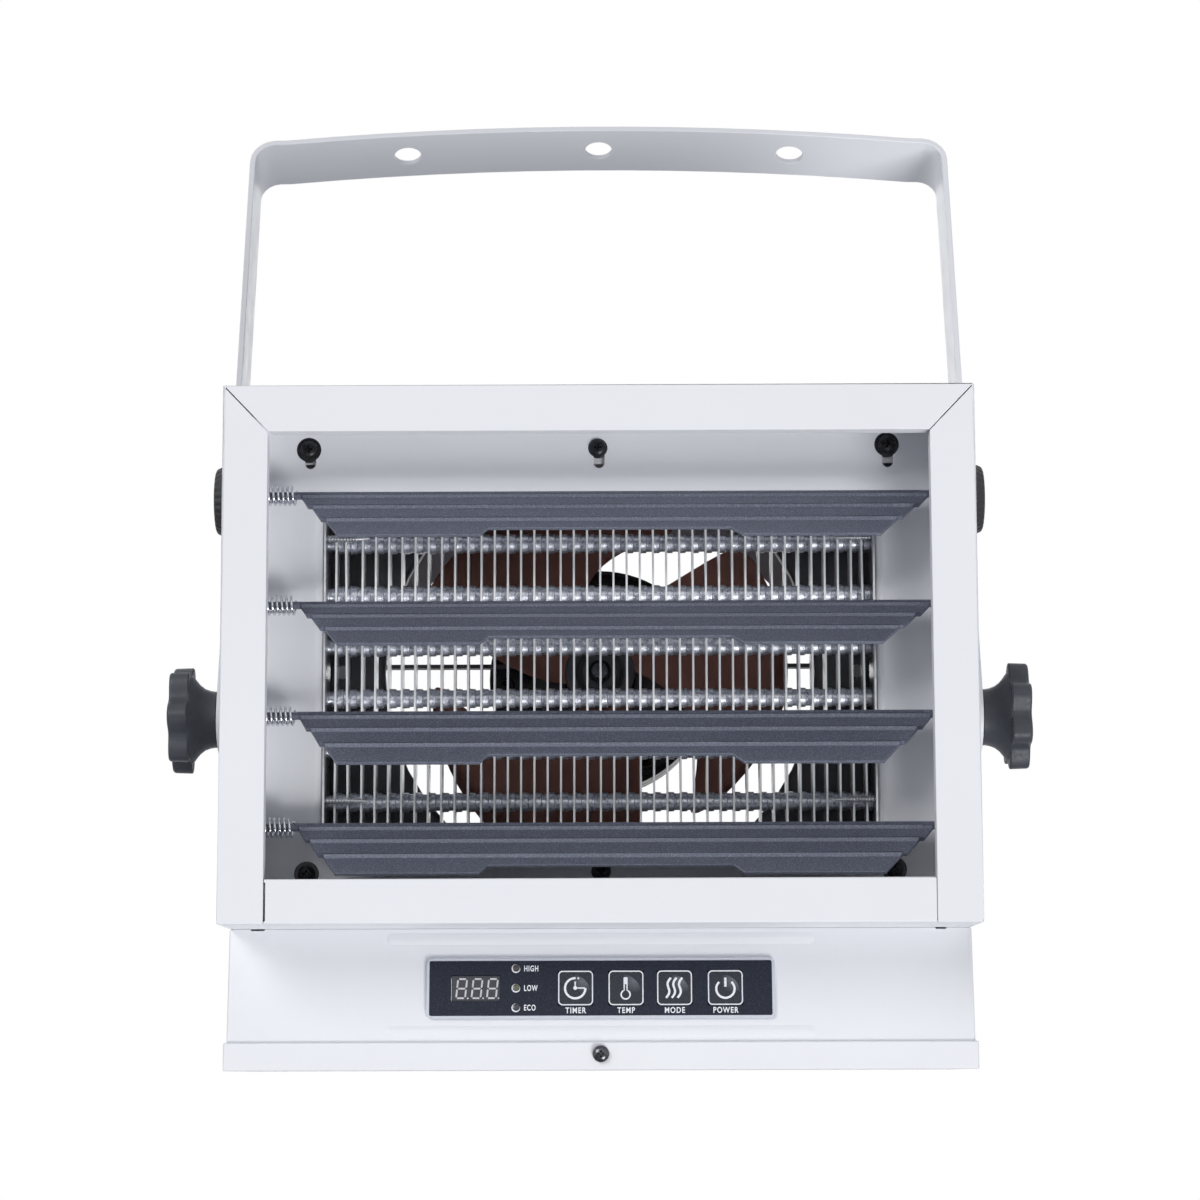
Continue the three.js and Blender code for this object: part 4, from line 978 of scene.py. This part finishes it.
class HEATER_OT_fan(bpy.types.Operator):
    """Fan: three lacquered blades on a spider, the collar, the shaft and the plate round them"""

    bl_idname = "heater.fan"
    bl_label = "Fan"

    def execute(self, context):
        put_down()
        bpy.ops.mesh.primitive_grid_add(
            x_subdivisions=len(BLADE_STATIONS) - 1, y_subdivisions=12, size=1
        )
        blade = christen("blade")
        shape = open_mesh(blade, "VERT")
        columns = sorted({round(corner.co.x, 4) for corner in shape.verts})
        for corner in shape.verts:
            radius, leading, trailing, rise = BLADE_STATIONS[columns.index(round(corner.co.x, 4))]
            share = corner.co.y + 0.5
            angle = math.radians(leading + (trailing - leading) * share)
            flick = 2.2 * max(0, share - 0.84) / 0.16 if radius > 30 else 0
            y = BLADE_Y + rise * (1 - 2 * share) - flick
            corner.co = Vector((radius * math.cos(angle), y, radius * math.sin(angle))) * MM
        bmesh.update_edit_mesh(blade.data)
        bpy.ops.mesh.select_all(action="SELECT")
        bpy.ops.mesh.normals_make_consistent(inside=False)
        put_down()
        modify(blade, "SOLIDIFY", thickness=sizes().blade_thickness, offset=0)
        modify(blade, "SUBSURF", levels=2, render_levels=2)
        rotor = joined("fan_blades", *round_fan_axis(blade, BLADE_COUNT))
        settle(rotor, coat("blade_copper"), "copper_paint", ["fan_rotor"], smooth=40, body="fan")

        spider = turned(
            "fan_spider", "y", (0, 0, FAN_Z),
            [(60, 10), (51, 10), (50, 11), (50, 17.4), (49.4, 18), (46.4, 18), (45.8, 17.4),
             (45.4, 15.6), (45.4, 12.6), (44.2, 11.4), (41.2, 10.2)], 64,
        )
        settle(
            spider, coat("charcoal_steel"), "charcoal_steel", rounding=0.3 * MM, smooth=30,
            body="fan",
        )
        collar = turned(
            "shaft_collar", "y", (0, 0, FAN_Z),
            [(40.7, 9.6), (37.4, 9.6), (36.7, 8.9), (36.7, 6.6), (37.2, 5.6), (39.6, 4.5)], 48,
        )
        settle(
            collar, coat("charcoal_steel"), "black_steel", ["fan_collar"], 0.15 * MM, smooth=30,
            body="fan",
        )
        repaint("motor_shaft", coat("dark_chrome"))

        plate = from_frame("venturi_plate", "fan_plate", HOUSING)

        def on_rim(p):
            return near(p.y, 38.4) and near(math.hypot(p.x, p.z - FAN_Z), 109.5, within=0.5)

        round_edges(plate, on_rim, 3 * MM, 5)
        settle(plate, coat("charcoal_steel"), "charcoal_steel", ["venturi_plate"], 0.2 * MM)
        return {"FINISHED"}


BOLT_CIRCLE = 49


class HEATER_OT_motor(bpy.types.Operator):
    """Fan motor with its end bells, cooling slots and bolts, and the strap that carries it"""

    bl_idname = "heater.motor"
    bl_label = "Fan Motor"

    def execute(self, context):
        shell = turned(
            "motor_shell", "y", (0, 0, FAN_Z),
            [(124.6, 22), (120.4, 24), (120, 48), (118.6, 54), (115, 57.4), (104, 57.8),
             (103.6, 56.6), (102.4, 56.6), (102, 57.8), (90, 57.8), (89.6, 56.6), (88.4, 56.6),
             (88, 57.8), (76, 57.4), (73, 55), (72.2, 51), (72.2, 19), (71, 17.6), (66.4, 17)], 72,
        )
        slot = block("slot", (-1.6, 66, 38), (1.6, 74.6, 50))
        cut_away(shell, joined("slots", *round_fan_axis(slot, 18)))
        bolts = []
        for angle in (184, 4, -61, 117):
            x = BOLT_CIRCLE * math.cos(math.radians(angle))
            z = FAN_Z + BOLT_CIRCLE * math.sin(math.radians(angle))
            bolts.append(turned(
                "grommet", "y", (x, 0, z), [(73.4, 4.6), (70.4, 4.6), (69.8, 4), (69.8, 2.8)], 28
            ))
            bolts.append(screw_head("bolt", (x, z), 70, 2.8, 1.8))
        motor = joined("motor_body", shell, *bolts)
        settle(motor, coat("black_steel"), "black_steel", ["fan_motor"], 0.25 * MM, smooth=30)

        strap = from_frame("motor_strap", "motor_carrier", HOUSING)
        settle(strap, coat("charcoal_steel"), "charcoal_steel", ["motor_strap"], 0.25 * MM)
        return {"FINISHED"}


def on_both_sides(pattern, title, node, paint, rounding, **settings):
    """Puts the pattern, drawn on the right, in place of the knobs of both sides."""
    for name, side in SIDES:
        turn = ROW if side > 0 else Matrix.Rotation(math.pi, 4, "Z")
        knob = copied(pattern, f"{title}_{name}", turn=turn)
        settle(
            knob, paint, "black_plastic", [f"{node}_{name}"], rounding, body=f"{node}_{name}",
            **settings,
        )
    bpy.data.objects.remove(pattern)


class HEATER_OT_knobs(bpy.types.Operator):
    """Star knobs on the pivots, lock knobs on the arc slots, and what they turn on"""

    bl_idname = "heater.knobs"
    bl_label = "Knobs"

    def execute(self, context):
        lobes, steps = sizes().knob_lobes, 12
        head = turned(
            "star", "x", (0, 0, 0),
            [(202.4, 27), (203, 27), (211.6, 26.7), (212.2, 25.8), (212.5, 22), (212.5, 12),
             (211.7, 11.2), (211.7, 4)], lobes * steps,
        )
        for phase in range(steps // 2 + 1):
            wave = math.cos(2 * math.pi * phase / steps)
            factor = (24.3 + 2.7 * (wave if wave > 0 else wave * 1.15)) / 27

            def on_phase(p, phase=phase):
                turn = math.atan2(p.z, p.y) / (2 * math.pi) * lobes * steps
                step = round(turn) % steps
                return min(step, steps - step) == phase and math.hypot(p.y, p.z) > 20

            pick_points(head, on_phase)
            bpy.ops.transform.resize(value=(1, factor, factor), center_override=(0, 0, 0))
        put_down()
        hub = turned(
            "hub", "x", (0, 0, 0),
            [(189.3, 14), (191.2, 14), (193.6, 14.4), (196.2, 15.4), (198.6, 17.2), (200.6, 19.6),
             (202.0, 21.6), (203.0, 22.0)], 72,
        )
        stud = turned("stud", "x", (0, 0, 0), [(172, 3.4), (173, 4), (190, 4)], 24)
        star = joined("star_knob", head, hub, stud)
        on_both_sides(
            star, "star_knob", "pivot_knob", coat("knob_plastic"), 0.7 * MM, segments=3, smooth=40
        )
        for name, _ in SIDES:
            repaint(f"pivot_bush_{name}", galvanised_steel())

        centre = (0, 0, LOCK_RISE - PIVOT_DROP)
        sides = 84
        skirt = turned(
            "lock", "x", centre,
            [(189.3, 19), (189.9, 20), (192.3, 20), (192.8, 19.4), (193, 18.4), (196.6, 16.8),
             (197.3, 15.6), (197.3, 8), (196.8, 7.2), (196.8, 2)], sides,
        )

        def in_groove(p):
            step = round(math.atan2(p.z - centre[2], p.y) / (2 * math.pi) * sides)
            return 193.1 < p.x < 197 and math.hypot(p.y, p.z - centre[2]) > 14 and step % 3 == 0

        pick_points(skirt, in_groove)
        bpy.ops.transform.resize(value=(1, 0.94, 0.94), center_override=Vector(centre) * MM)
        put_down()
        stud = turned("stud", "x", centre, [(172, 2.5), (173, 3), (190, 3)], 20)
        lock = joined("lock_knob", skirt, stud)
        on_both_sides(
            lock, "lock_knob_cap", "lock_knob", coat("black_plastic"), 0.25 * MM, smooth=32,
            axes=ROW,
        )
        return {"FINISHED"}


class HEATER_OT_control_box(bpy.types.Operator):
    """Control box with its two pressed beads, the bottom cover and its screw"""

    bl_idname = "heater.control_box"
    bl_label = "Control Box"

    def execute(self, context):
        fold, edge = sizes().fold_radius, sizes().edge_radius
        box = from_frame("control_box", "control_case", HOUSING)
        # The reliefs of the two folded corners show as dark slits under the casing.
        for x, half in ((-169.1, 3.3), (167.8, 2.6)):
            low, high = (x - half, -2, BOX_TOP - 0.5), (x + half, 4, BOX_TOP + 1.1)
            cut_away(box, block("notch", low, high))
        round_edges(
            box,
            lambda p: near(abs(p.x), HALF_WIDTH) and (p.y < BOX_FRONT + 0.1 or near(p.y, BOX_BACK)),
            fold, 4,
        )
        pick_points(box, lambda p: p.z > BOX_TOP - 0.1)
        bpy.ops.transform.translate(value=(0, 0, 0.22 * MM))
        settle(box, coat("white_paint"), "white_paint", ["control_box"], edge)

        for name, z in (("upper", 25.0), ("lower", -21.2)):
            bead = pad(
                f"case_bead_{name}", (-105.5, -0.5, z - 2.9), (105.5, 0.6, z + 2.9), 2.8, 8
            )
            inset_front(bead, 1.9, -0.12)
            pick_points(bead, lambda p: near(p.y, -0.5))
            bpy.ops.transform.translate(value=(0, 0.48 * MM, 0))
            settle(bead, coat("white_paint"), "white_paint", smooth=60, axes=PANEL)

        cover = from_frame("bottom_cover", "cover_tray", HOUSING)

        def on_side(p):
            return near(abs(p.x), COVER_HALF_WIDTH)

        def on_end(p):
            return near(p.y, COVER_FRONT, COVER_BACK)

        round_edges(
            cover, lambda p: near(p.z, COVER_BOTTOM) and (on_side(p) or on_end(p)), fold, 4
        )
        round_edges(cover, lambda p: on_side(p) and on_end(p), fold, 4)
        settle(cover, coat("white_paint"), "white_paint", ["bottom_cover"], edge)

        head = screw_head("head", (0, COVER_SCREW_Z), -9.8, 4.1, 2.8)
        shank = turned("shank", "y", (0, 0, COVER_SCREW_Z), [(-10, 1.9), (1.4, 1.9), (2, 1.3)], 16)
        screw = joined("cover_fixing", head, shank)
        settle(screw, coat("dark_chrome"), "black_steel", ["cover_screw"], 0.12 * MM, smooth=30)
        return {"FINISHED"}


# Places along the panel. The keys' signs and words are printed a little in front of its film.
KEY_X = {"timer": -12.3, "temperature": 12.4, "mode": 36.2, "power": 61.1}
KEY_HALF = 8.5
LAMP_X, LAMP_ROWS = -41.6, (9.7, 0, -9.7)
SIGN_FACE, WORD_FACE = -2.0, -1.99


def flat_ring(name, x, z, half, corner, width, face):
    """A rounded square outline, raised from the face by the thickness of the print."""
    low, high = (x - half, face - 0.05, z - half), (x + half, face + 0.3, z + half)
    outer = pad(name, low, high, corner, 6)
    inset_front(outer, width, 0.2)
    return outer


def stroke(name, points, width, face):
    """A printed line with round ends along points of (x, z)."""
    line = bpy.data.curves.new(name, "CURVE")
    line.dimensions = "3D"
    line.bevel_depth = width / 2 * MM
    line.bevel_resolution = 3
    line.use_fill_caps = True
    spline = line.splines.new("POLY")
    spline.points.add(len(points) - 1)
    for place, (x, z) in zip(spline.points, points):
        place.co = (x * MM, 0, z * MM, 1)
    piece = bpy.data.objects.new(name, line)
    bpy.context.scene.collection.objects.link(piece)
    pick_up(piece)
    bpy.ops.object.convert(target="MESH")
    piece = bpy.context.object
    open_all(piece, "VERT")
    bpy.ops.transform.resize(value=(1, 0.12, 1), center_override=(0, 0, 0))
    bpy.ops.transform.translate(value=(0, face * MM, 0))
    put_down()
    return piece


def dot(name, x, z, radius, face):
    return turned(name, "y", (x, 0, z), [(face + 0.2, radius), (face - 0.06, radius)], 24)


def arc(x, z, radius, start, end, steps=28):
    angles = [math.radians(start + (end - start) * i / steps) for i in range(steps + 1)]
    return [(x + radius * math.cos(a), z + radius * math.sin(a)) for a in angles]


def icon_strokes(key, x):
    """The lines of a key's sign, as (points, width)."""
    if key == "timer":
        return [
            (arc(x - 0.2, -0.1, 5.0, 88, 360), 1.15),
            ([(x - 0.2, 3.2), (x - 0.2, 0), (x + 4.6, 0)], 0.75),
        ]
    if key == "temperature":
        return [
            (arc(x - 0.2, -3.3, 2.2, 118, 422), 0.75),
            ([(x - 0.9, -1.4), (x - 0.9, 5.1)], 0.55),
            ([(x + 0.5, -1.4), (x + 0.5, 5.1)], 0.55),
            ([(x - 0.2, 1.8), (x - 0.2, 5.3)], 1.5),
        ]
    if key == "mode":
        wave = [
            (0.95 * math.sin(t * math.pi / 6) + 0.2 * (t - 7), 0.83 * t - 5) for t in range(13)
        ]
        return [([(x + k + dx, z) for dx, z in wave], 1.15) for k in (-2.8, 0, 2.8)]
    return [
        (arc(x, -0.6, 4.5, 132, 408), 1.15),
        ([(x, 0.4), (x, 4.9)], 1.15),
    ]


def label(word, x, z, align="CENTER", narrow=0.8):
    """A printed word, made a mesh."""
    put_down()
    bpy.ops.object.text_add(rotation=(math.pi / 2, 0, 0))
    text = bpy.context.object
    text.data.body = word
    text.data.align_x = align
    text.data.size = 2.95 * MM * 1.35
    text.data.space_character = 1.2
    text.data.extrude = 0.04 * MM
    text.data.offset = 0.085 * MM
    text.scale = (narrow, 1, 1)
    text.location = (x * MM, WORD_FACE * MM, z * MM)
    bpy.ops.object.convert(target="MESH")
    return christen("label")


class HEATER_OT_control_panel(bpy.types.Operator):
    """Control panel: silver frame, flecked film, display, lamps, four keys and generic marks"""

    bl_idname = "heater.control_panel"
    bl_label = "Control Panel"

    def execute(self, context):
        rim = from_frame("control_overlay", "panel_trim", PANEL)
        settle(rim, coat("trim_silver"), "gloss_black", ["control_overlay"], 0.25 * MM, axes=PANEL)

        film = pad("panel_film", (-84.0, -1.98, -13.6), (84.0, -1.5, 13.6), 0.9, 4)
        half = KEY_HALF + 0.22
        for x in KEY_X.values():
            cut_away(film, block("key_opening", (x - half, -3, -half), (x + half, 0, half)))
        cut_away(film, block("display_opening", (-73.3, -3, -6.45), (-49.3, 0, 6.45)))
        for z in LAMP_ROWS:
            cut_away(film, turned("lamp_opening", "y", (LAMP_X, 0, z), [(-3, 2.3), (0, 2.3)], 28))
        settle(film, panel_film(), "gloss_black", rounding=0.08 * MM, axes=PANEL)

        marks = []
        for key, x in KEY_X.items():
            half = KEY_HALF
            low, high = (x - half, -1.95, -half), (x + half, 0.9, half)
            cap = pad(f"key_cap_{key}", low, high, 2.4, 6)
            stem = turned("stem", "y", (x, 0, 0), [(0.5, 3), (2.6, 3)], 24)
            cap = joined(f"key_cap_{key}", cap, stem)
            chart = cap.data.uv_layers.new(name="key_face")
            for loop in cap.data.loops:
                at = cap.data.vertices[loop.vertex_index].co / MM
                chart.data[loop.index].uv = ((at.x - x + half) / 2 / half, (at.z + half) / 2 / half)
            settle(
                cap, key_film(), "gloss_black", [f"key_{key}"], 0.25 * MM, body=f"key_{key}",
                axes=PANEL,
            )

            signs = [flat_ring("outline", x, 0, 8.55, 2.2, 1.15, SIGN_FACE)]
            for points, width in icon_strokes(key, x):
                signs.append(stroke("sign", points, width, SIGN_FACE))
            if key == "timer":
                signs.append(dot("pivot_dot", x - 0.2, 0, 0.95, SIGN_FACE))
                signs.append(dot("tick_dot", x + 1.3, 4.8, 0.5, SIGN_FACE))
            sign = joined(f"key_sign_{key}", *signs)
            settle(
                sign, coat("print_white"), "gloss_black", smooth=40, body=f"key_{key}", axes=PANEL
            )

            word = {"temperature": "TEMP"}.get(key, key.upper())
            marks.append(label(word, x, -12.4))
        for word, z in zip(("HIGH", "LOW", "ECO"), LAMP_ROWS):
            marks.append(label(word, LAMP_X + 3.9, z - 1.3, "LEFT", 0.66))
        words = joined("panel_words", *marks)
        settle(words, coat("print_white"), "gloss_black", smooth=40, axes=PANEL)

        glass = block("display_window", (-73.2, -1.2, -6.35), (-49.4, 5.1, 6.35))
        settle(glass, coat("display_film"), "display_window", ["display"], 0.15 * MM, axes=PANEL)
        uprights = [(dx, dz, 0.42, 1.95) for dz in (2.35, -2.35) for dx in (-2.2, 2.2)]
        levels = [(0, dz, 1.75, 0.42) for dz in (4.75, 0, -4.75)]
        bars = []
        for middle in (-68.2, -60.65, -53.1):
            for dx, dz, wide, high in uprights + levels:
                x = middle + dx
                low, top = (x - wide, -1.26, dz - high), (x + wide, -1.1, dz + high)
                bars.append(pad("bar", low, top, 0.3, 1))
            bars.append(dot("point", middle + 3.5, -4.8, 0.42, -1.2))
        slant = Matrix.Identity(4)
        slant[0][2] = 0.1
        for bar in bars:
            bar.data.transform(slant)
        digits = joined("display_digits", *bars)
        settle(digits, coat("digit_print"), "display_window", smooth=40, axes=PANEL)
        # A thin white strip down the display's left edge: a painted glint on its glass.
        painted_glint = block("display_edge", (-73.5, -1.5, -6.3), (-73.1, -1.0, 5.2))
        settle(painted_glint, coat("print_white"), "display_window", rounding=0.1 * MM, axes=PANEL)

        tints = {
            "top": (0.050, 0.034, 0.036),
            "middle": (0.105, 0.108, 0.062),
            "bottom": (0.034, 0.037, 0.050),
        }
        for (name, tint), z in zip(tints.items(), LAMP_ROWS):
            # The lens sits a little up and to the right of its white seat, so the seat shows only
            # as a crescent at its lower left: a painted highlight on the lamp.
            seat = turned(
                f"lamp_seat_{name}", "y", (LAMP_X, 0, z),
                [(2, 2.12), (-1.9, 2.12), (-1.98, 2.05), (-1.98, 1.0)], 40,
            )
            settle(seat, coat("print_white"), "indicator_lens", smooth=40, axes=PANEL)
            lens = turned(
                f"lamp_lens_{name}", "y", (LAMP_X + 0.18, 0, z + 0.26),
                [(4.8, 1.8), (-1.8, 1.84), (-2.0, 1.78), (-2.15, 1.45), (-2.25, 0.9), (-2.28, 0.3)],
                40,
            )
            settle(
                lens, lamp_lens(f"lamp_{name}", tint), "indicator_lens", [f"indicator_{name}"],
                smooth=40, axes=PANEL,
            )
        return {"FINISHED"}


class HEATER_OT_electrics(bpy.types.Operator):
    """What is inside and behind: boards, terminal block, cutout, leads and the cable gland"""

    bl_idname = "heater.electrics"
    bl_label = "Electrics"

    def execute(self, context):
        for node in ("control_board", "power_board"):
            repaint(node, board_green())
        for node in ("motor_lead", "element_lead"):
            repaint(node, coat("cable_rubber"))
        repaint("terminal_block", coat("beige_plastic"))
        cutout = from_frame("thermal_cutout", "cutout_can", HOUSING)
        settle(cutout, coat("black_plastic"), "black_plastic", ["thermal_cutout"], 0.3 * MM)

        centre, sides = (GLAND_X, 0, GLAND_Z), 40
        flange = turned(
            "flange", "y", centre, [(130.3, 14), (135.3, 14), (135.3, 11.8), (136.6, 11.8)], 6
        )
        dome = turned(
            "dome", "y", centre,
            [(136.0, 12.5), (141, 12.5), (143.5, 12.1), (146.5, 11), (149, 9.4), (150.2, 8.2),
             (150.2, 5.6), (147, 5.5)], sides,
        )

        def in_groove(p):
            step = round(math.atan2(p.z - GLAND_Z, p.x - GLAND_X) / (2 * math.pi) * sides)
            return p.y < 141.5 and step % 4 == 0

        pick_points(dome, in_groove)
        bpy.ops.transform.resize(value=(0.94, 1, 0.94), center_override=Vector(centre) * MM)
        put_down()
        gland = joined("gland_body", flange, dome)
        settle(gland, coat("black_plastic"), "black_plastic", ["cable_gland"], 0.4 * MM, segments=3)
        return {"FINISHED"}


# ------------------------------------------------------------------ stage


class HEATER_OT_stage(bpy.types.Operator):
    """Studio: a pale floor well below the heater, soft lights, a white surround and the camera"""

    bl_idname = "heater.stage"
    bl_label = "Studio"

    def execute(self, context):
        put_down()
        bpy.ops.mesh.primitive_plane_add(size=24, location=(0, 0, -6))
        floor = christen("studio_floor")

        def build(tree):
            mottle, seen = grain(tree, 3, 3.0), add_node(tree, "ShaderNodeLightPath").outputs[0]
            return {
                "Base Color": ramp(
                    tree, mottle, (0.3, (0.78, 0.78, 0.79)), (0.7, (0.84, 0.84, 0.85))
                ),
                "Roughness": spread(tree, grain(tree, 20, 3.0), 0.6, 0.75),
                "Emission Strength": spread(tree, seen, 0.0, 0.62, 0.0, 1.0),
            }

        floor.data.materials.append(finish("floor_paint", 0.0, build))

        world = context.scene.world or bpy.data.worlds.new("studio_world")
        context.scene.world = world
        world.use_nodes = True
        tree = world.node_tree
        tree.nodes.clear()
        rays = add_node(tree, "ShaderNodeLightPath").outputs
        clear = rays["Is Camera Ray"]
        for other in ("Is Glossy Ray", "Is Transmission Ray"):
            inputs = {0: clear, 1: rays[other]}
            clear = add_node(tree, "ShaderNodeMath", inputs, operation="MAXIMUM").outputs[0]
        glow, white = (
            add_node(tree, "ShaderNodeBackground", {"Color": colour, "Strength": strength})
            for colour, strength in (((0.90, 0.94, 1, 1), 0.3), ((1, 1, 1, 1), 1.0))
        )
        mix = add_node(
            tree, "ShaderNodeMixShader", {0: clear, 1: glow.outputs[0], 2: white.outputs[0]}
        )
        add_node(tree, "ShaderNodeOutputWorld", {"Surface": mix.outputs[0]})

        centre = Vector((0, 0, -0.33))
        for name, place, size, power in (
            ("key_light", (1.9, -1.9, -4.5), 1.8, 146),
            ("fill_light", (-2.9, -4.5, 0.3), 2.4, 112),
            ("rim_light", (0.2, 1.9, 1.2), 1.6, 8),
        ):
            lamp = bpy.data.lights.new(name, "AREA")
            lamp.shape = "SQUARE"
            lamp.size = size
            lamp.energy = power
            light = bpy.data.objects.new(name, lamp)
            light.location = place
            light.rotation_euler = (centre - Vector(place)).to_track_quat("-Z", "Y").to_euler()
            context.scene.collection.objects.link(light)

        lens = bpy.data.cameras.new("view_camera")
        lens.sensor_width = 36
        lens.lens = 102
        lens.clip_start, lens.clip_end = 0.05, 50
        camera = bpy.data.objects.new("view_camera", lens)
        rise, yaw, roll = math.radians(30.27), math.radians(-0.11), math.radians(-0.14)
        camera.rotation_mode = "QUATERNION"
        camera.rotation_quaternion = (
            Matrix.Rotation(-yaw, 3, "Z") @ Matrix.Rotation(math.pi / 2 + rise, 3, "X")
            @ Matrix.Rotation(roll, 3, "Z")
        ).to_quaternion()
        camera.location = (3.06 * MM, -1489.6 * MM, -1158.2 * MM)
        context.scene.collection.objects.link(camera)
        context.scene.camera = camera
        context.scene.view_settings.view_transform = "Standard"
        return {"FINISHED"}


STEPS = (
    HEATER_OT_bracket,
    HEATER_OT_casing,
    HEATER_OT_reflector,
    HEATER_OT_louvers,
    HEATER_OT_element,
    HEATER_OT_fan,
    HEATER_OT_motor,
    HEATER_OT_knobs,
    HEATER_OT_control_box,
    HEATER_OT_control_panel,
    HEATER_OT_electrics,
    HEATER_OT_stage,
)


class HEATER_PT_build(bpy.types.Panel):
    """Lists the heater's building steps, sizes and colours"""

    bl_idname = "HEATER_PT_build"
    bl_label = "Ceiling Fan Heater"
    bl_space_type = "VIEW_3D"
    bl_region_type = "UI"
    bl_category = "Heater"

    def draw(self, context):
        layout = self.layout
        for step in STEPS:
            layout.operator(step.bl_idname)
        for group in (context.scene.heater_sizes, context.scene.heater_colours):
            column = layout.column()
            for name in group.__annotations__:
                column.prop(group, name)


CLASSES = (HeaterSizes, HeaterColours, *STEPS, HEATER_PT_build)


def register():
    for item in CLASSES:
        bpy.utils.register_class(item)
    bpy.types.Scene.heater_sizes = PointerProperty(type=HeaterSizes)
    bpy.types.Scene.heater_colours = PointerProperty(type=HeaterColours)


def unregister():
    del bpy.types.Scene.heater_colours
    del bpy.types.Scene.heater_sizes
    for item in reversed(CLASSES):
        bpy.utils.unregister_class(item)


def main():
    """Builds every piece and the studio."""
    register()
    for step in STEPS:
        group, name = step.bl_idname.split(".")
        getattr(getattr(bpy.ops, group), name)()
    put_down()


if __name__ == "__main__":
    main()
